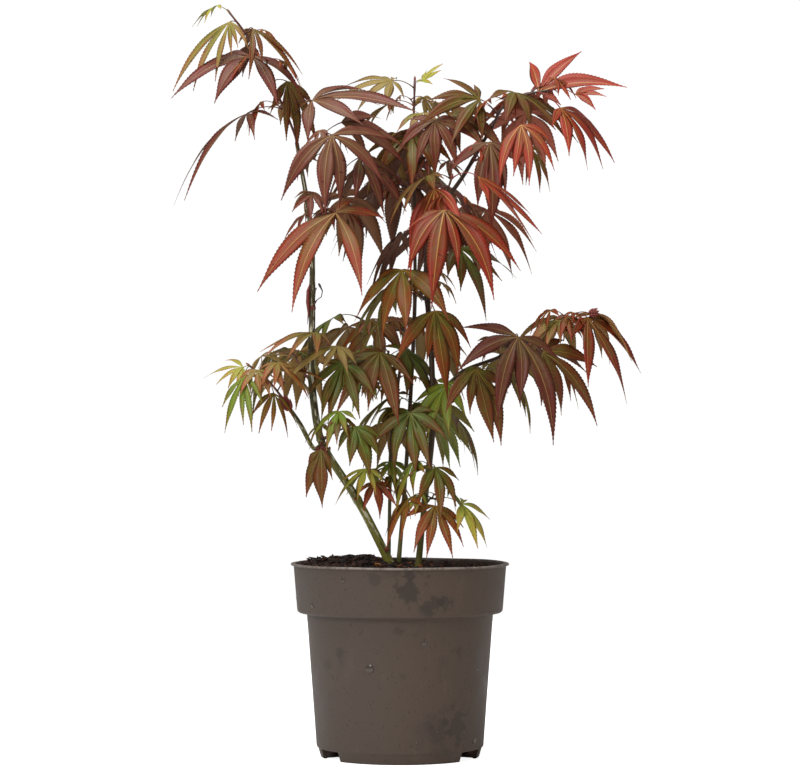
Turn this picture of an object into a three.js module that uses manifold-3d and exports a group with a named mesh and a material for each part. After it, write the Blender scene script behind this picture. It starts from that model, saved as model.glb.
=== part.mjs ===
// A young Japanese maple in a round plastic nursery pot.
// Four stems rise from one root through the compost. Side boughs and shoots leave them at the nodes,
// and each shoot carries palmate leaves on thin stalks.
// Millimetres, +Z up. The plant is laid out round the pot's axis: +X is the right of the plant's front
// view, +Y is its back. At the end the group is centred, so that the origin is the middle of the whole
// plant's box, on the ground.
import * as THREE from "three";
import { mergeVertices } from "three/addons/utils/BufferGeometryUtils.js";
import Module from "manifold-3d";

const wasm = await Module();
wasm.setup();

// ---------------------------------------------------------------- driving sizes
const GAP = 0.3; // clearance between neighbouring solids
const WELD = 1e-4; // vertices closer than this are one vertex

const POT = {
  height: 168,
  wall: 1.6,
  lipRadius: 95,
  lipDepth: 2.4,
  collarTopRadius: 92.4,
  collarFootRadius: 89,
  collarFootHeight: 125,
  collarRound: 2,
  neckRadius: 80.8,
  baseRadius: 72.6,
  footHeight: 9,
  footRadius: 71,
  footTipRadius: 68.6,
  footWidth: 3.2,
  feet: 3,
  notchAngle: 24, // degrees of the foot ring that each drainage notch takes away
  notchTurn: 90, // degrees from +X to the middle of the first notch
  holeRadius: 5,
  holeCircle: 50,
  holes: 6,
  sides: 36,
};

const COMPOST = {
  level: 161, // of the surface at the pot's wall
  mound: 9, // how far the surface rises under the stems and towards the left
  moundAt: [-38, 20],
  moundReach: 62,
  ripple: 1.6,
  rings: 4,
};

// A limb is a tapering tube through its route. A stem starts with a flat cut in the compost,
// a bough starts GAP clear of its stem, at the height on that stem given as "height".
const FOOT = 158; // height of the stems' flat cuts
const FLARE = { size: 1.5, reach: 7 }; // extra radius at a stem's foot
const LIMB_STEPS = 2; // rings of a limb between two points of its route
const SEATING_STEPS = 8;
const STUB_SIDES = 6;
const LIMBS = {
  stem_left: {
    route: [
      [-4, -6, FOOT], [-36, -10, 221], [-63, -14, 263], [-69, -14, 276],
      [-76, -12, 322], [-76, -8, 391], [-77, -10, 455], [-89, -14, 530],
    ],
    radius: [5, 1.7],
    sides: 8,
  },
  stem_right: {
    route: [
      [15, -8, FOOT], [21, -12, 218], [28, -14, 283], [27, -12, 350],
      [23, -8, 428], [32, -2, 468], [57, 6, 507], [80, 12, 547],
    ],
    radius: [3.6, 1.4],
    sides: 7,
  },
  stem_centre: {
    route: [[-2, 9, FOOT], [4, 17, 232], [9, 27, 309], [13, 35, 396], [13, 38, 455], [12, 38, 525]],
    radius: [2.6, 1.1],
    sides: 6,
  },
  stem_thin: {
    route: [[-10, 18, FOOT], [-9, 30, 222], [-8, 42, 270], [-2, 56, 322], [4, 68, 366]],
    radius: [2.2, 1.1],
    sides: 6,
  },
  bough_left: {
    from: "stem_left",
    height: 270,
    route: [[-86, -20, 288], [-101, -26, 310]],
    radius: [2.3, 1.7],
    sides: 6,
  },
  bough_right: {
    from: "stem_right",
    height: 314,
    route: [[52, -6, 332], [88, 2, 347], [125, 2, 368]],
    radius: [2.1, 1.3],
    sides: 5,
  },
  bough_back: {
    from: "stem_centre",
    height: 402,
    route: [[26, 66, 425], [42, 92, 452]],
    radius: [1.6, 1.1],
    sides: 5,
  },
};

// A shoot is a twig with its leaves. It leaves its limb at "height", or goes on from the limb's tip where
// no height is given. A leaf's stalk leaves the twig "at" a share of it, along the compass angle "turn"
// (0 is +X, 90 is +Y). "size" is the length of its middle lobe, "droop" how far its blade hangs, "rise"
// how far its stalk climbs, as a share of the stalk, "stalk" the stalk's length as a share of the size,
// and "roll" how far the blade leans over its middle lobe. "pair" adds a leaf on the twig's other side.
const SHOOTS = {
  crown_left_tip: {
    from: "stem_left",
    route: [[-106, -16, 573], [-130, -14, 620], [-147, -14, 643]],
    leaves: [
      { at: 0.42, size: 88, turn: -14, droop: -8, roll: 28, rise: 0.3, stalk: 0.3 },
      { at: 0.42, size: 86, turn: 186, droop: 30, rise: -0.1, stalk: 0.36 },
      { at: 0.56, size: 66, turn: -14, droop: 76, rise: 0, stalk: 0.2 },
      { at: 0.6, size: 72, turn: -154, droop: 12, roll: -28, rise: 0.9, stalk: 0.2 },
      { at: 0.8, size: 58, turn: -74, droop: 58, rise: 0.1, stalk: 0.34 },
      { at: 0.72, size: 50, turn: 110, droop: 40 },
      { at: 0.88, size: 53, turn: -118, droop: 60, rise: 0.1, stalk: 0.3 },
      { at: 1, size: 30, turn: 200, droop: 30, rise: 0.5 },
    ],
    tone: "rust",
  },
  inner_left: {
    from: "stem_left",
    height: 458,
    route: [[-66, -26, 470], [-56, -32, 496]],
    leaves: [
      { at: 0.6, size: 88, turn: -68, droop: 53, roll: 12, rise: 0, stalk: 0.46 },
      { at: 1, size: 62, turn: -30, droop: 40, rise: 0.8 },
      { at: 0.8, size: 58, turn: 60, droop: 40 },
    ],
    tone: "maroon",
  },
  shoulder_left: {
    from: "stem_left",
    height: 512,
    route: [[-78, -28, 522], [-70, -38, 528]],
    leaves: [
      { at: 1, size: 80, turn: -80, droop: 54, rise: 0.1 },
      { at: 0.7, size: 64, turn: -12, droop: 14, rise: 0.9 },
    ],
    tone: "purple",
  },
  crown_centre: {
    from: "stem_centre",
    route: [[12, 36, 552], [13, 32, 590]],
    leaves: [
      { at: 0.45, size: 54, turn: -62, droop: 52, pair: true },
      { at: 0.82, size: 44, turn: 8, droop: 20, pair: true },
      { at: 0.95, size: 48, turn: 188, droop: -12, roll: -35, rise: 0.3 },
      { at: 1, size: 24, turn: 10, droop: -58, roll: 30, rise: 0.1, stalk: 0.3 },
    ],
    tone: "amber",
  },
  crown_inner: {
    from: "stem_centre",
    height: 508,
    route: [[20, 20, 530], [27, 10, 546]],
    leaves: [
      { at: 1, size: 52, turn: -80, droop: 56 },
      { at: 0.8, size: 56, turn: -6, droop: 14, roll: 40, rise: 0.9 },
      { at: 0.6, size: 48, turn: 120, droop: 30, rise: 0.2 },
    ],
    tone: "maroon",
  },
  crown_right_tip: {
    from: "stem_right",
    route: [[88, 10, 562], [108, 6, 574], [130, 2, 578]],
    leaves: [
      { at: 0.45, size: 68, turn: -30, droop: 18, rise: 1, stalk: 0.25 },
      { at: 0.4, size: 60, turn: 200, droop: 2, roll: -50, rise: 0.7, stalk: 0.3 },
      { at: 0.75, size: 62, turn: 8, droop: -44, roll: 42, stalk: 0.22 },
      { at: 0.88, size: 64, turn: -36, droop: 36, rise: -0.6, pair: true },
      { at: 1, size: 44, turn: -4, droop: -6, roll: 40, rise: -0.2, stalk: 0.6 },
      { at: 0.7, size: 56, turn: 80, droop: 30 },
    ],
    tone: "scarlet",
  },
  crown_right_inner: {
    from: "stem_right",
    height: 518,
    route: [[84, -18, 528], [98, -32, 536]],
    leaves: [
      { at: 0.6, size: 74, turn: -98, droop: 64, rise: 0.2, stalk: 0.26 },
      { at: 1, size: 50, turn: -72, droop: 48, rise: 0.3 },
      { at: 1, size: 42, turn: -40, droop: 64, rise: -0.7 },
    ],
    tone: "scarlet",
  },
  heart: {
    from: "stem_right",
    height: 438,
    route: [[28, -26, 447], [35, -38, 470], [44, -42, 498]],
    leaves: [
      { at: 0.6, size: 86, turn: -80, droop: 46, rise: 0.3, stalk: 0.5 },
      { at: 0.5, size: 72, turn: -36, droop: 48, rise: -0.3 },
      { at: 0.5, size: 62, turn: 190, droop: 44, rise: 0.1 },
      { at: 0.9, size: 80, turn: -120, droop: 66, rise: 0.1, stalk: 0.25 },
      { at: 1, size: 66, turn: -42, droop: 36, rise: 0, stalk: 0.5 },
      { at: 1, size: 54, turn: 198, droop: 24, rise: 0.1 },
    ],
    tone: "crimson",
  },
  breast: {
    from: "stem_right",
    height: 396,
    route: [[17, -20, 405], [12, -32, 415]],
    leaves: [
      { at: 1, size: 84, turn: -108, droop: 42, rise: 0.25, stalk: 0.22 },
      { at: 0.5, size: 74, turn: -68, droop: 60, rise: -0.5 },
      { at: 0.7, size: 58, turn: 170, droop: 40, rise: 0 },
    ],
    tone: "copper",
  },
  waist: {
    from: "stem_thin",
    height: 318,
    route: [[-12, 26, 338], [-10, 0, 350]],
    leaves: [
      { at: 1, size: 62, turn: -105, droop: 50, rise: 0 },
      { at: 0.85, size: 52, turn: -45, droop: 45, rise: 0.3 },
      { at: 0.9, size: 40, turn: 170, droop: 25, rise: 0.6 },
    ],
    tone: "copper",
  },
  left_low: {
    from: "bough_left",
    route: [[-113, -28, 325], [-129, -30, 338]],
    leaves: [
      { at: 0.75, size: 46, turn: -50, droop: 10, roll: 20, rise: 0.4 },
      { at: 0.7, size: 42, turn: -70, droop: 56, rise: -0.7 },
      { at: 1, size: 48, turn: -108, droop: 64, rise: -0.5 },
      { at: 1, size: 30, turn: 184, droop: 8, roll: -30, rise: -0.2, stalk: 0.2 },
      { at: 0.8, size: 44, turn: 100, droop: 24, rise: 0.9 },
    ],
    tone: "amber",
  },
  waist_left: {
    from: "stem_thin",
    height: 306,
    route: [[-24, 6, 333], [-45, -14, 344], [-60, -28, 354]],
    leaves: [
      { at: 1, size: 50, turn: 200, droop: 22, rise: 1, stalk: 0.25 },
      { at: 0.95, size: 60, turn: 248, droop: 44, rise: 0.2, stalk: 0.25 },
      { at: 0.7, size: 54, turn: -92, droop: 54, rise: -0.1 },
      { at: 0.6, size: 48, turn: 95, droop: 36 },
    ],
    tone: "amber",
  },
  right_tip: {
    from: "bough_right",
    route: [[138, 2, 376], [151, -2, 383]],
    leaves: [
      { at: 0.7, size: 42, turn: -95, droop: 44, rise: 0.1 },
      { at: 1, size: 74, turn: -46, droop: 50, rise: -0.2, stalk: 0.2 },
      { at: 0.8, size: 56, turn: 100, droop: 40, rise: 0.12 },
      { at: 1, size: 48, turn: 25, droop: 44, rise: 0 },
    ],
    tone: "rust",
  },
  right_back: {
    from: "bough_right",
    height: 352,
    route: [[110, 22, 358], [112, 38, 360]],
    leaves: [
      { at: 1, size: 66, turn: 80, droop: 40, rise: 0.05 },
      { at: 0.8, size: 58, turn: 168, droop: 54, rise: -0.3 },
      { at: 0.9, size: 52, turn: 8, droop: 50, rise: -0.4 },
    ],
    tone: "copper",
  },
  right_mid: {
    from: "bough_right",
    height: 349,
    route: [[94, -16, 354], [98, -28, 358]],
    leaves: [
      { at: 1, size: 84, turn: -88, droop: 54, rise: 0.1 },
      { at: 0.8, size: 76, turn: -26, droop: 40, rise: -0.2 },
    ],
    tone: "maroon",
  },
  right_inner: {
    from: "bough_right",
    height: 330,
    route: [[56, -18, 332], [60, -28, 332]],
    leaves: [
      { at: 1, size: 64, turn: -80, droop: 58, rise: 0.1 },
      { at: 0.7, size: 48, turn: -140, droop: 56, rise: -0.5 },
      { at: 1, size: 46, turn: -12, droop: 58, rise: -0.1, stalk: 0.9 },
    ],
    tone: "olive",
  },
  middle: {
    from: "stem_centre",
    height: 288,
    route: [[16, 2, 298], [10, -18, 302]],
    leaves: [
      { at: 1, size: 50, turn: -95, droop: 54, rise: -0.2 },
      { at: 0.5, size: 48, turn: 50, droop: 40, rise: 0.2 },
      { at: 0.8, size: 54, turn: 200, droop: 44, rise: 0.6 },
    ],
    tone: "olive",
  },
  node_left: {
    from: "stem_left",
    height: 275,
    route: [[-56, -30, 281], [-44, -36, 286]],
    leaves: [
      { at: 0.5, size: 52, turn: -112, droop: 72, rise: -0.6 },
      { at: 1, size: 50, turn: -72, droop: 48, rise: 0 },
      { at: 1, size: 36, turn: -140, droop: 38, rise: 0.9 },
    ],
    tone: "olive",
  },
  low_left: {
    from: "stem_thin",
    height: 236,
    route: [[-20, 6, 244], [-26, -8, 248]],
    leaves: [
      { at: 1, size: 38, turn: -120, droop: 34, rise: 0.1 },
      { at: 0.8, size: 40, turn: -30, droop: 36, rise: -0.2 },
      { at: 0.8, size: 34, turn: 120, droop: 30 },
      { at: 1, size: 36, turn: -75, droop: 50, rise: -0.7 },
    ],
    tone: "green",
  },
  low_mid: {
    from: "stem_right",
    height: 248,
    route: [[26, -26, 252]],
    leaves: [
      { at: 1, size: 40, turn: 215, droop: 36 },
      { at: 0.9, size: 42, turn: -80, droop: 44, rise: 0 },
    ],
    tone: "green",
  },
  low_right: {
    from: "stem_right",
    height: 222,
    route: [[26, -26, 224], [30, -34, 224]],
    leaves: [
      { at: 0.8, size: 43, turn: 215, droop: 48, rise: 0, stalk: 0.6 },
      { at: 1, size: 46, turn: -95, droop: 50, rise: -0.3 },
      { at: 1, size: 50, turn: -15, droop: 36, roll: 24, rise: -0.2, stalk: 0.5 },
    ],
    tone: "green",
  },
  back_crown: {
    from: "stem_centre",
    height: 488,
    route: [[2, 76, 504], [-12, 98, 518]],
    leaves: [
      { at: 0.5, size: 76, turn: 10, droop: 34 },
      { at: 0.6, size: 66, turn: 172, droop: 42, rise: -0.2 },
      { at: 0.75, size: 70, turn: 100, droop: 40 },
      { at: 1, size: 58, turn: 150, droop: 26 },
      { at: 1, size: 58, turn: 40, droop: 30 },
    ],
    tone: "maroon",
  },
  back_right: {
    from: "bough_back",
    route: [[54, 108, 470], [68, 120, 482]],
    leaves: [
      { at: 0.6, size: 62, turn: -56, droop: 40, pair: true },
      { at: 0.9, size: 72, turn: 60, droop: 36 },
      { at: 1, size: 50, turn: 110, droop: 20 },
    ],
    tone: "crimson",
  },
  back_left: {
    from: "stem_thin",
    route: [[-14, 84, 372], [-38, 98, 384]],
    leaves: [
      { at: 0.45, size: 70, turn: 45, droop: 42, pair: true },
      { at: 0.8, size: 68, turn: 140, droop: 38, rise: 0 },
      { at: 1, size: 54, turn: 185, droop: 30, rise: 0 },
    ],
    tone: "copper",
  },
  back_low: {
    from: "stem_thin",
    height: 268,
    route: [[12, 68, 290], [30, 88, 300]],
    leaves: [
      { at: 0.6, size: 58, turn: 130, droop: 44 },
      { at: 1, size: 58, turn: 85, droop: 40 },
      { at: 0.9, size: 52, turn: -20, droop: 40, rise: 0 },
    ],
    tone: "olive",
  },
  back_low_left: {
    from: "stem_left",
    height: 328,
    route: [[-88, 18, 340], [-92, 40, 348]],
    leaves: [
      { at: 1, size: 56, turn: 80, droop: 42 },
      { at: 0.9, size: 54, turn: 170, droop: 40 },
    ],
    tone: "olive",
  },
};

const TWIG = { root: 1.4, tip: 0.9, knee: 5, steps: 5, lastLeaf: 0.99 };
const STALK = { share: 0.42, rise: 0.2, radius: 0.7, bend: 0.45, lift: 0.3 };
const BLADE = {
  thickness: 0.018, // of the leaf's length, at the lobes' ribs
  sinus: 0.15, // where neighbouring lobes part
  notch: 0.02, // the gap between the last lobes, where the stalk comes in
  widest: 0.47, // place of a lobe's greatest width
  halfWidth: 0.106,
  sag: 0.9, // how far gravity bends a lobe
  lobes: {
    5: { turn: [-84, -39, 0, 39, 84], length: [0.52, 0.86, 1, 0.86, 0.52] },
    7: { turn: [-114, -70, -34, 0, 34, 70, 114], length: [0.4, 0.74, 0.93, 1, 0.93, 0.74, 0.4] },
  },
  fullSize: 50, // leaves at least this long have seven lobes
};
const JITTER = { turn: 7, droop: 7, roll: 12, size: 0.06 };
const CLEAR = 0.5; // the clearance a leaf has to everything else
const ASIDE = [
  [0, 0], [0, 14], [0, -14], [14, 0], [-14, 0], [16, 14], [-16, 14], [28, 0], [-28, 0],
  [30, -14], [-30, -14], [42, 8], [-42, 8],
]; // turns and droops that it tries for that

const TONES = {
  purple: 0x6b4038,
  maroon: 0x5a332c,
  rust: 0x8d4a35,
  scarlet: 0xa23c2c,
  crimson: 0x93382f,
  copper: 0x7e4524,
  amber: 0xa46a35,
  olive: 0x5b5326,
  green: 0x7c8a34,
};

// ---------------------------------------------------------------- small helpers
const UP = new THREE.Vector3(0, 0, 1);
const vector = (p) => new THREE.Vector3(...p);
const radians = THREE.MathUtils.degToRad;
const mix = (a, b, t) => a + (b - a) * t;

// Numbers from 0 to 1 by a linear congruential rule, the same ones for the same seed.
function seeded(seed) {
  let state = (seed * 2654435761) % 4294967296;
  return () => {
    state = (Math.imul(state, 1664525) + 1013904223) >>> 0;
    return state / 4294967296;
  };
}

// A closed solid of a geometry, with its shared vertices merged and its empty triangles left out.
function solidOf(geometry) {
  const bare = new THREE.BufferGeometry();
  bare.setAttribute("position", geometry.getAttribute("position"));
  if (geometry.index) bare.setIndex(geometry.index);
  const merged = mergeVertices(bare, WELD);
  const source = merged.index.array;
  const kept = [];
  for (let i = 0; i < source.length; i += 3) {
    const [a, b, c] = [source[i], source[i + 1], source[i + 2]];
    if (a !== b && b !== c && c !== a) kept.push(a, b, c);
  }
  const mesh = new wasm.Mesh({
    numProp: 3,
    vertProperties: merged.attributes.position.array,
    triVerts: new Uint32Array(kept),
  });
  return new wasm.Manifold(mesh);
}

function geometryOf(solid) {
  const mesh = solid.getMesh();
  const positions = new Float32Array(mesh.numVert * 3);
  for (let i = 0; i < mesh.numVert; i++) {
    positions.set(mesh.vertProperties.subarray(i * mesh.numProp, i * mesh.numProp + 3), i * 3);
  }
  const geometry = new THREE.BufferGeometry();
  geometry.setAttribute("position", new THREE.BufferAttribute(positions, 3));
  geometry.setIndex(new THREE.BufferAttribute(mesh.triVerts, 1));
  return geometry;
}

function geometryFrom(points, triangles) {
  const geometry = new THREE.BufferGeometry().setFromPoints(points);
  geometry.setIndex(triangles.flat());
  return geometry;
}

// A closed tapering tube with flat ends: a cylinder of unit radius, bent so that each of its rings lies
// round one of the centres. The first ring lies square to firstTangent.
function tube(centres, radii, sides, firstTangent) {
  const steps = centres.length - 1;
  const frames = [];
  let normal = new THREE.Vector3(0, 1, 0);
  centres.forEach((centre, i) => {
    const before = centres[Math.max(i - 1, 0)];
    const after = centres[Math.min(i + 1, steps)];
    const tangent = i === 0 ? firstTangent : after.clone().sub(before).normalize();
    normal = normal.clone().addScaledVector(tangent, -normal.dot(tangent));
    if (normal.length() < 0.05) normal = new THREE.Vector3(1, 0, 0).addScaledVector(tangent, -tangent.x);
    normal.normalize();
    frames.push([normal, normal.clone().cross(tangent)]);
  });
  const geometry = new THREE.CylinderGeometry(1, 1, steps, sides, steps);
  const place = geometry.getAttribute("position");
  for (let i = 0; i < place.count; i++) {
    const ring = Math.round(place.getY(i) + steps / 2);
    const [across, up] = frames[ring];
    const point = centres[ring].clone().addScaledVector(across, radii[ring] * place.getX(i));
    point.addScaledVector(up, radii[ring] * place.getZ(i));
    place.setXYZ(i, point.x, point.y, point.z);
  }
  return solidOf(geometry);
}

// ---------------------------------------------------------------- pot and compost
// A radius profile [radius, height] turned round the Z axis.
function turned(profile, sides) {
  const points = profile.map(([radius, height]) => new THREE.Vector2(radius, height));
  return new THREE.LatheGeometry(points, sides).rotateX(Math.PI / 2);
}

function potSolid() {
  const p = POT;
  const shelf = p.collarFootHeight - p.wall;
  const profile = [
    [0, p.footHeight],
    [p.footTipRadius - p.footWidth, p.footHeight],
    [p.footTipRadius - p.footWidth, 0],
    [p.footTipRadius, 0],
    [p.footRadius, p.footHeight - 0.6],
    [p.baseRadius, p.footHeight],
    [p.neckRadius, p.collarFootHeight - 1],
    [p.collarFootRadius - p.collarRound, p.collarFootHeight],
    [p.collarFootRadius, p.collarFootHeight + p.collarRound],
    [p.collarTopRadius, p.height - p.lipDepth],
    [p.lipRadius, p.height - p.lipDepth + 0.5],
    [p.lipRadius, p.height - 0.5],
    [p.lipRadius - 0.6, p.height],
    [p.collarTopRadius - p.wall, p.height],
    [p.collarFootRadius - p.wall, p.collarFootHeight + p.collarRound + 0.6],
    [p.neckRadius - p.wall + 0.4, p.collarFootHeight + p.wall],
    [p.neckRadius - p.wall, shelf],
    [p.baseRadius - p.wall, p.footHeight + p.wall],
    [0, p.footHeight + p.wall],
  ];
  let pot = solidOf(turned(profile, p.sides));
  const notchWidth = 2 * p.footRadius * Math.sin(radians(p.notchAngle / 2));
  for (let i = 0; i < p.feet; i++) {
    const notch = new THREE.BoxGeometry(12, notchWidth, 2 * (p.footHeight - 0.6));
    notch.translate(p.footRadius - 4.4, 0, 0);
    notch.rotateZ(radians(p.notchTurn + (360 * i) / p.feet));
    pot = pot.subtract(solidOf(notch));
  }
  for (let i = 0; i < p.holes; i++) {
    const turn = radians((360 * (i + 0.5)) / p.holes);
    const hole = new THREE.CylinderGeometry(p.holeRadius, p.holeRadius, 3 * p.wall, 8);
    hole.rotateX(Math.PI / 2);
    hole.translate(p.holeCircle * Math.cos(turn), p.holeCircle * Math.sin(turn), p.footHeight + p.wall / 2);
    pot = pot.subtract(solidOf(hole));
  }
  return pot;
}

function compostHeight(x, y) {
  const c = COMPOST;
  const away = Math.hypot(x - c.moundAt[0], y - c.moundAt[1]) / c.moundReach;
  const rough = Math.sin(x / 7.3 + 1.1) * Math.sin(y / 8.9 - 0.4) + 0.6 * Math.sin(x / 3.1 - y / 4.7);
  return c.level + c.mound * Math.exp(-away * away) + c.ripple * rough;
}

// The compost fills the pot GAP clear of its walls; the stems' feet are cut out of it.
function compostSolid(feet) {
  const p = POT;
  const inset = p.wall + GAP;
  const wallTop = mix(
    p.collarFootRadius,
    p.collarTopRadius,
    (COMPOST.level - p.collarFootHeight) / (p.height - p.collarFootHeight),
  );
  const rim = wallTop - inset - 0.3;
  const profile = [
    [0, p.footHeight + inset],
    [p.baseRadius - inset - 0.1, p.footHeight + inset],
    [p.neckRadius - inset, p.collarFootHeight - p.wall],
    [p.neckRadius - inset, p.collarFootHeight + p.wall + GAP],
    [p.collarFootRadius - inset - 0.3, p.collarFootHeight + p.collarRound + 1.2],
    [rim, COMPOST.level - 3],
  ];
  for (let ring = COMPOST.rings; ring >= 0; ring--) {
    profile.push([(rim * ring) / COMPOST.rings, COMPOST.level]);
  }
  const geometry = turned(profile, p.sides);
  const place = geometry.getAttribute("position");
  for (let i = 0; i < place.count; i++) {
    if (Math.abs(place.getZ(i) - COMPOST.level) > 0.5) continue;
    place.setZ(i, compostHeight(place.getX(i), place.getY(i)));
  }
  let compost = solidOf(geometry);
  for (const foot of feet) compost = compost.subtract(foot);
  return compost;
}

// ---------------------------------------------------------------- limbs
const limbs = {};

// The place on a limb's curve at a height, or its tip.
function placeOn(limb, height) {
  if (height === undefined) {
    const [before, tip] = limb.centres.slice(-2);
    return { point: tip, tangent: tip.clone().sub(before).normalize(), radius: 0 };
  }
  let low = 0;
  let high = 1;
  for (let i = 0; i < 30; i++) {
    const t = (low + high) / 2;
    if (limb.curve.getPoint(t).z < height) low = t;
    else high = t;
  }
  return { point: limb.curve.getPoint(low), tangent: limb.curve.getTangent(low), radius: limb.radiusAt(low) };
}

// A point moved along "away" until a stub of this radius, starting there, is GAP clear of the limb.
function seated(limb, point, away, radius) {
  const start = point.clone();
  for (let i = 0; i < SEATING_STEPS; i++) {
    const stub = tube([start, start.clone().add(away)], [radius, radius], STUB_SIDES, away);
    start.addScaledVector(away, GAP - stub.minGap(limb.solid, 4 * GAP));
  }
  return start;
}

// A curve that starts GAP clear of a limb and goes through a route. It leaves a limb's side squarely
// and a limb's tip straight on.
function curveFrom(limb, height, route, radius) {
  const place = placeOn(limb, height);
  const points = route.map(vector);
  let away = place.tangent.clone();
  if (height !== undefined) {
    const towards = points[0].clone().sub(place.point);
    away = towards.addScaledVector(place.tangent, -towards.dot(place.tangent)).normalize();
  }
  const side = place.point.clone().addScaledVector(away, place.radius + GAP);
  const start = height === undefined ? side : seated(limb, side, away, radius);
  const knee = start.clone().addScaledVector(away, TWIG.knee);
  return new THREE.CatmullRomCurve3([start, knee, ...points]);
}

function growLimb(name, spec) {
  const isStem = !spec.from;
  const curve = isStem
    ? new THREE.CatmullRomCurve3(spec.route.map(vector))
    : curveFrom(limbs[spec.from], spec.height, spec.route, spec.radius[0]);
  const [root, tip] = spec.radius;
  const steps = LIMB_STEPS * (curve.points.length - 1);
  const places = [0, 0.4, ...Array.from({ length: steps }, (_, i) => i + 1)].map((i) => i / steps);
  const radiusAt = (t) => {
    const rise = curve.getPoint(t).z - FOOT;
    return mix(root, tip, t) + (isStem ? FLARE.size * Math.exp(-rise / FLARE.reach) : 0);
  };
  const centres = places.map((t) => curve.getPoint(t));
  const radii = places.map(radiusAt);
  const firstTangent = isStem ? UP : centres[1].clone().sub(centres[0]).normalize();
  limbs[name] = { curve, radiusAt, centres, radii, solid: tube(centres, radii, spec.sides, firstTangent) };
}

// The space that a stem's foot takes in the compost.
function footSpace(limb, sides) {
  const centres = limb.centres.slice(0, 4).map((centre) => centre.clone());
  centres[0].z -= GAP;
  const radii = limb.radii.slice(0, 4).map((radius) => radius + GAP);
  return tube(centres, radii, sides, UP);
}

// ---------------------------------------------------------------- leaves
// A leaf hangs from its hub. "out" runs along its middle lobe, "up" is its upper side, and its stalk
// comes in from behind, through the bend, from the node on the twig.
function leafSolid({ node, bend, hub, out, up, length }) {
  const lobes = BLADE.lobes[length >= BLADE.fullSize ? 7 : 5];
  const count = lobes.turn.length;
  const side = up.clone().cross(out);
  const half = up.clone().multiplyScalar((BLADE.thickness * length) / 2);
  const direction = (degrees) => {
    const turn = radians(degrees);
    return out.clone().multiplyScalar(Math.cos(turn)).addScaledVector(side, Math.sin(turn));
  };
  // A lobe's rib leaves the hub along its direction and bends towards the ground.
  const ribPoint = (way, size, share) => {
    const pull = UP.clone().negate().addScaledVector(way, way.z);
    const point = hub.clone().addScaledVector(way, size * share);
    return point.addScaledVector(pull, (size * BLADE.sag * share * share) / 2);
  };
  const points = [hub.clone().add(half), hub.clone().sub(half)];
  const back = hub.clone().addScaledVector(out, -BLADE.notch * length);
  points.push(back.clone().addScaledVector(side, -STALK.radius));
  for (let i = 1; i < count; i++) {
    const between = direction((lobes.turn[i - 1] + lobes.turn[i]) / 2);
    points.push(hub.clone().addScaledVector(between, BLADE.sinus * length));
  }
  points.push(back.clone().addScaledVector(side, STALK.radius));
  const triangles = [];
  for (let i = 0; i < count; i++) {
    const way = direction(lobes.turn[i]);
    const size = length * lobes.length[i];
    const middle = ribPoint(way, size, BLADE.widest);
    const across = up.clone().cross(way).multiplyScalar(size * BLADE.halfWidth);
    const [a, b, top] = [i + 2, i + 3, points.length];
    const [below, right, left, tip] = [top + 1, top + 2, top + 3, top + 4];
    points.push(middle.clone().add(half), middle.clone().sub(half));
    points.push(middle.clone().sub(across), middle.clone().add(across), ribPoint(way, size, 1));
    triangles.push([0, a, top], [0, top, b], [a, right, top], [top, left, b]);
    triangles.push([right, tip, top], [top, tip, left], [right, below, tip], [below, left, tip]);
    triangles.push([1, below, a], [1, b, below], [a, below, right], [below, b, left]);
  }
  // The stalk goes on from the four corners at the back of the hub.
  let ring = [0, count + 2, 1, 2];
  for (const centre of [bend, node]) {
    const next = points.length;
    const radius = STALK.radius;
    points.push(centre.clone().addScaledVector(UP, radius), centre.clone().addScaledVector(side, radius));
    points.push(centre.clone().addScaledVector(UP, -radius), centre.clone().addScaledVector(side, -radius));
    for (let k = 0; k < 4; k++) {
      const after = (k + 1) % 4;
      triangles.push([ring[k], ring[after], next + k], [ring[after], next + after, next + k]);
    }
    ring = [next, next + 1, next + 2, next + 3];
  }
  triangles.push([ring[0], ring[1], ring[2]], [ring[0], ring[2], ring[3]]);
  return solidOf(geometryFrom(points, triangles));
}

// Where a leaf sits and how it is turned, from its row, four seeded numbers and its turn aside.
function leafPlace(node, row, chance, aside) {
  const turn = radians(row.turn + JITTER.turn * (2 * chance[0] - 1) + aside[0]);
  const droop = radians(row.droop + JITTER.droop * (2 * chance[1] - 1) + aside[1]);
  const roll = radians((row.roll ?? 0) + JITTER.roll * (2 * chance[2] - 1));
  const length = row.size * (1 + JITTER.size * (2 * chance[3] - 1));
  const level = new THREE.Vector3(Math.cos(turn), Math.sin(turn), 0);
  const reach = length * (row.stalk ?? STALK.share);
  const climb = reach * (row.rise ?? STALK.rise);
  const hub = node.clone().addScaledVector(level, reach).addScaledVector(UP, climb);
  const bend = node.clone().lerp(hub, STALK.bend).addScaledVector(UP, reach * STALK.lift * STALK.bend);
  const out = level.clone().multiplyScalar(Math.cos(droop)).addScaledVector(UP, -Math.sin(droop));
  const up = level.clone().multiplyScalar(Math.sin(droop)).addScaledVector(UP, Math.cos(droop));
  up.applyAxisAngle(out, roll);
  return { node, bend, hub, out, up, length };
}

function touches(solid, others, clearance) {
  const box = solid.boundingBox();
  return others.some((other) => {
    const theirs = other.boundingBox();
    const apart = [0, 1, 2].some(
      (k) => box.min[k] - clearance > theirs.max[k] || theirs.min[k] - clearance > box.max[k],
    );
    return !apart && solid.minGap(other, clearance * 2) < clearance;
  });
}

// A shoot's twig, and what its leaves need to know of it.
function growTwig(spec) {
  const curve = curveFrom(limbs[spec.from], spec.height, spec.route, TWIG.root);
  const centres = curve.getPoints(TWIG.steps);
  const radii = centres.map((_, i) => mix(TWIG.root, TWIG.tip, i / TWIG.steps));
  return { curve, solid: tube(centres, radii, 3, curve.getTangent(0)) };
}

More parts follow.
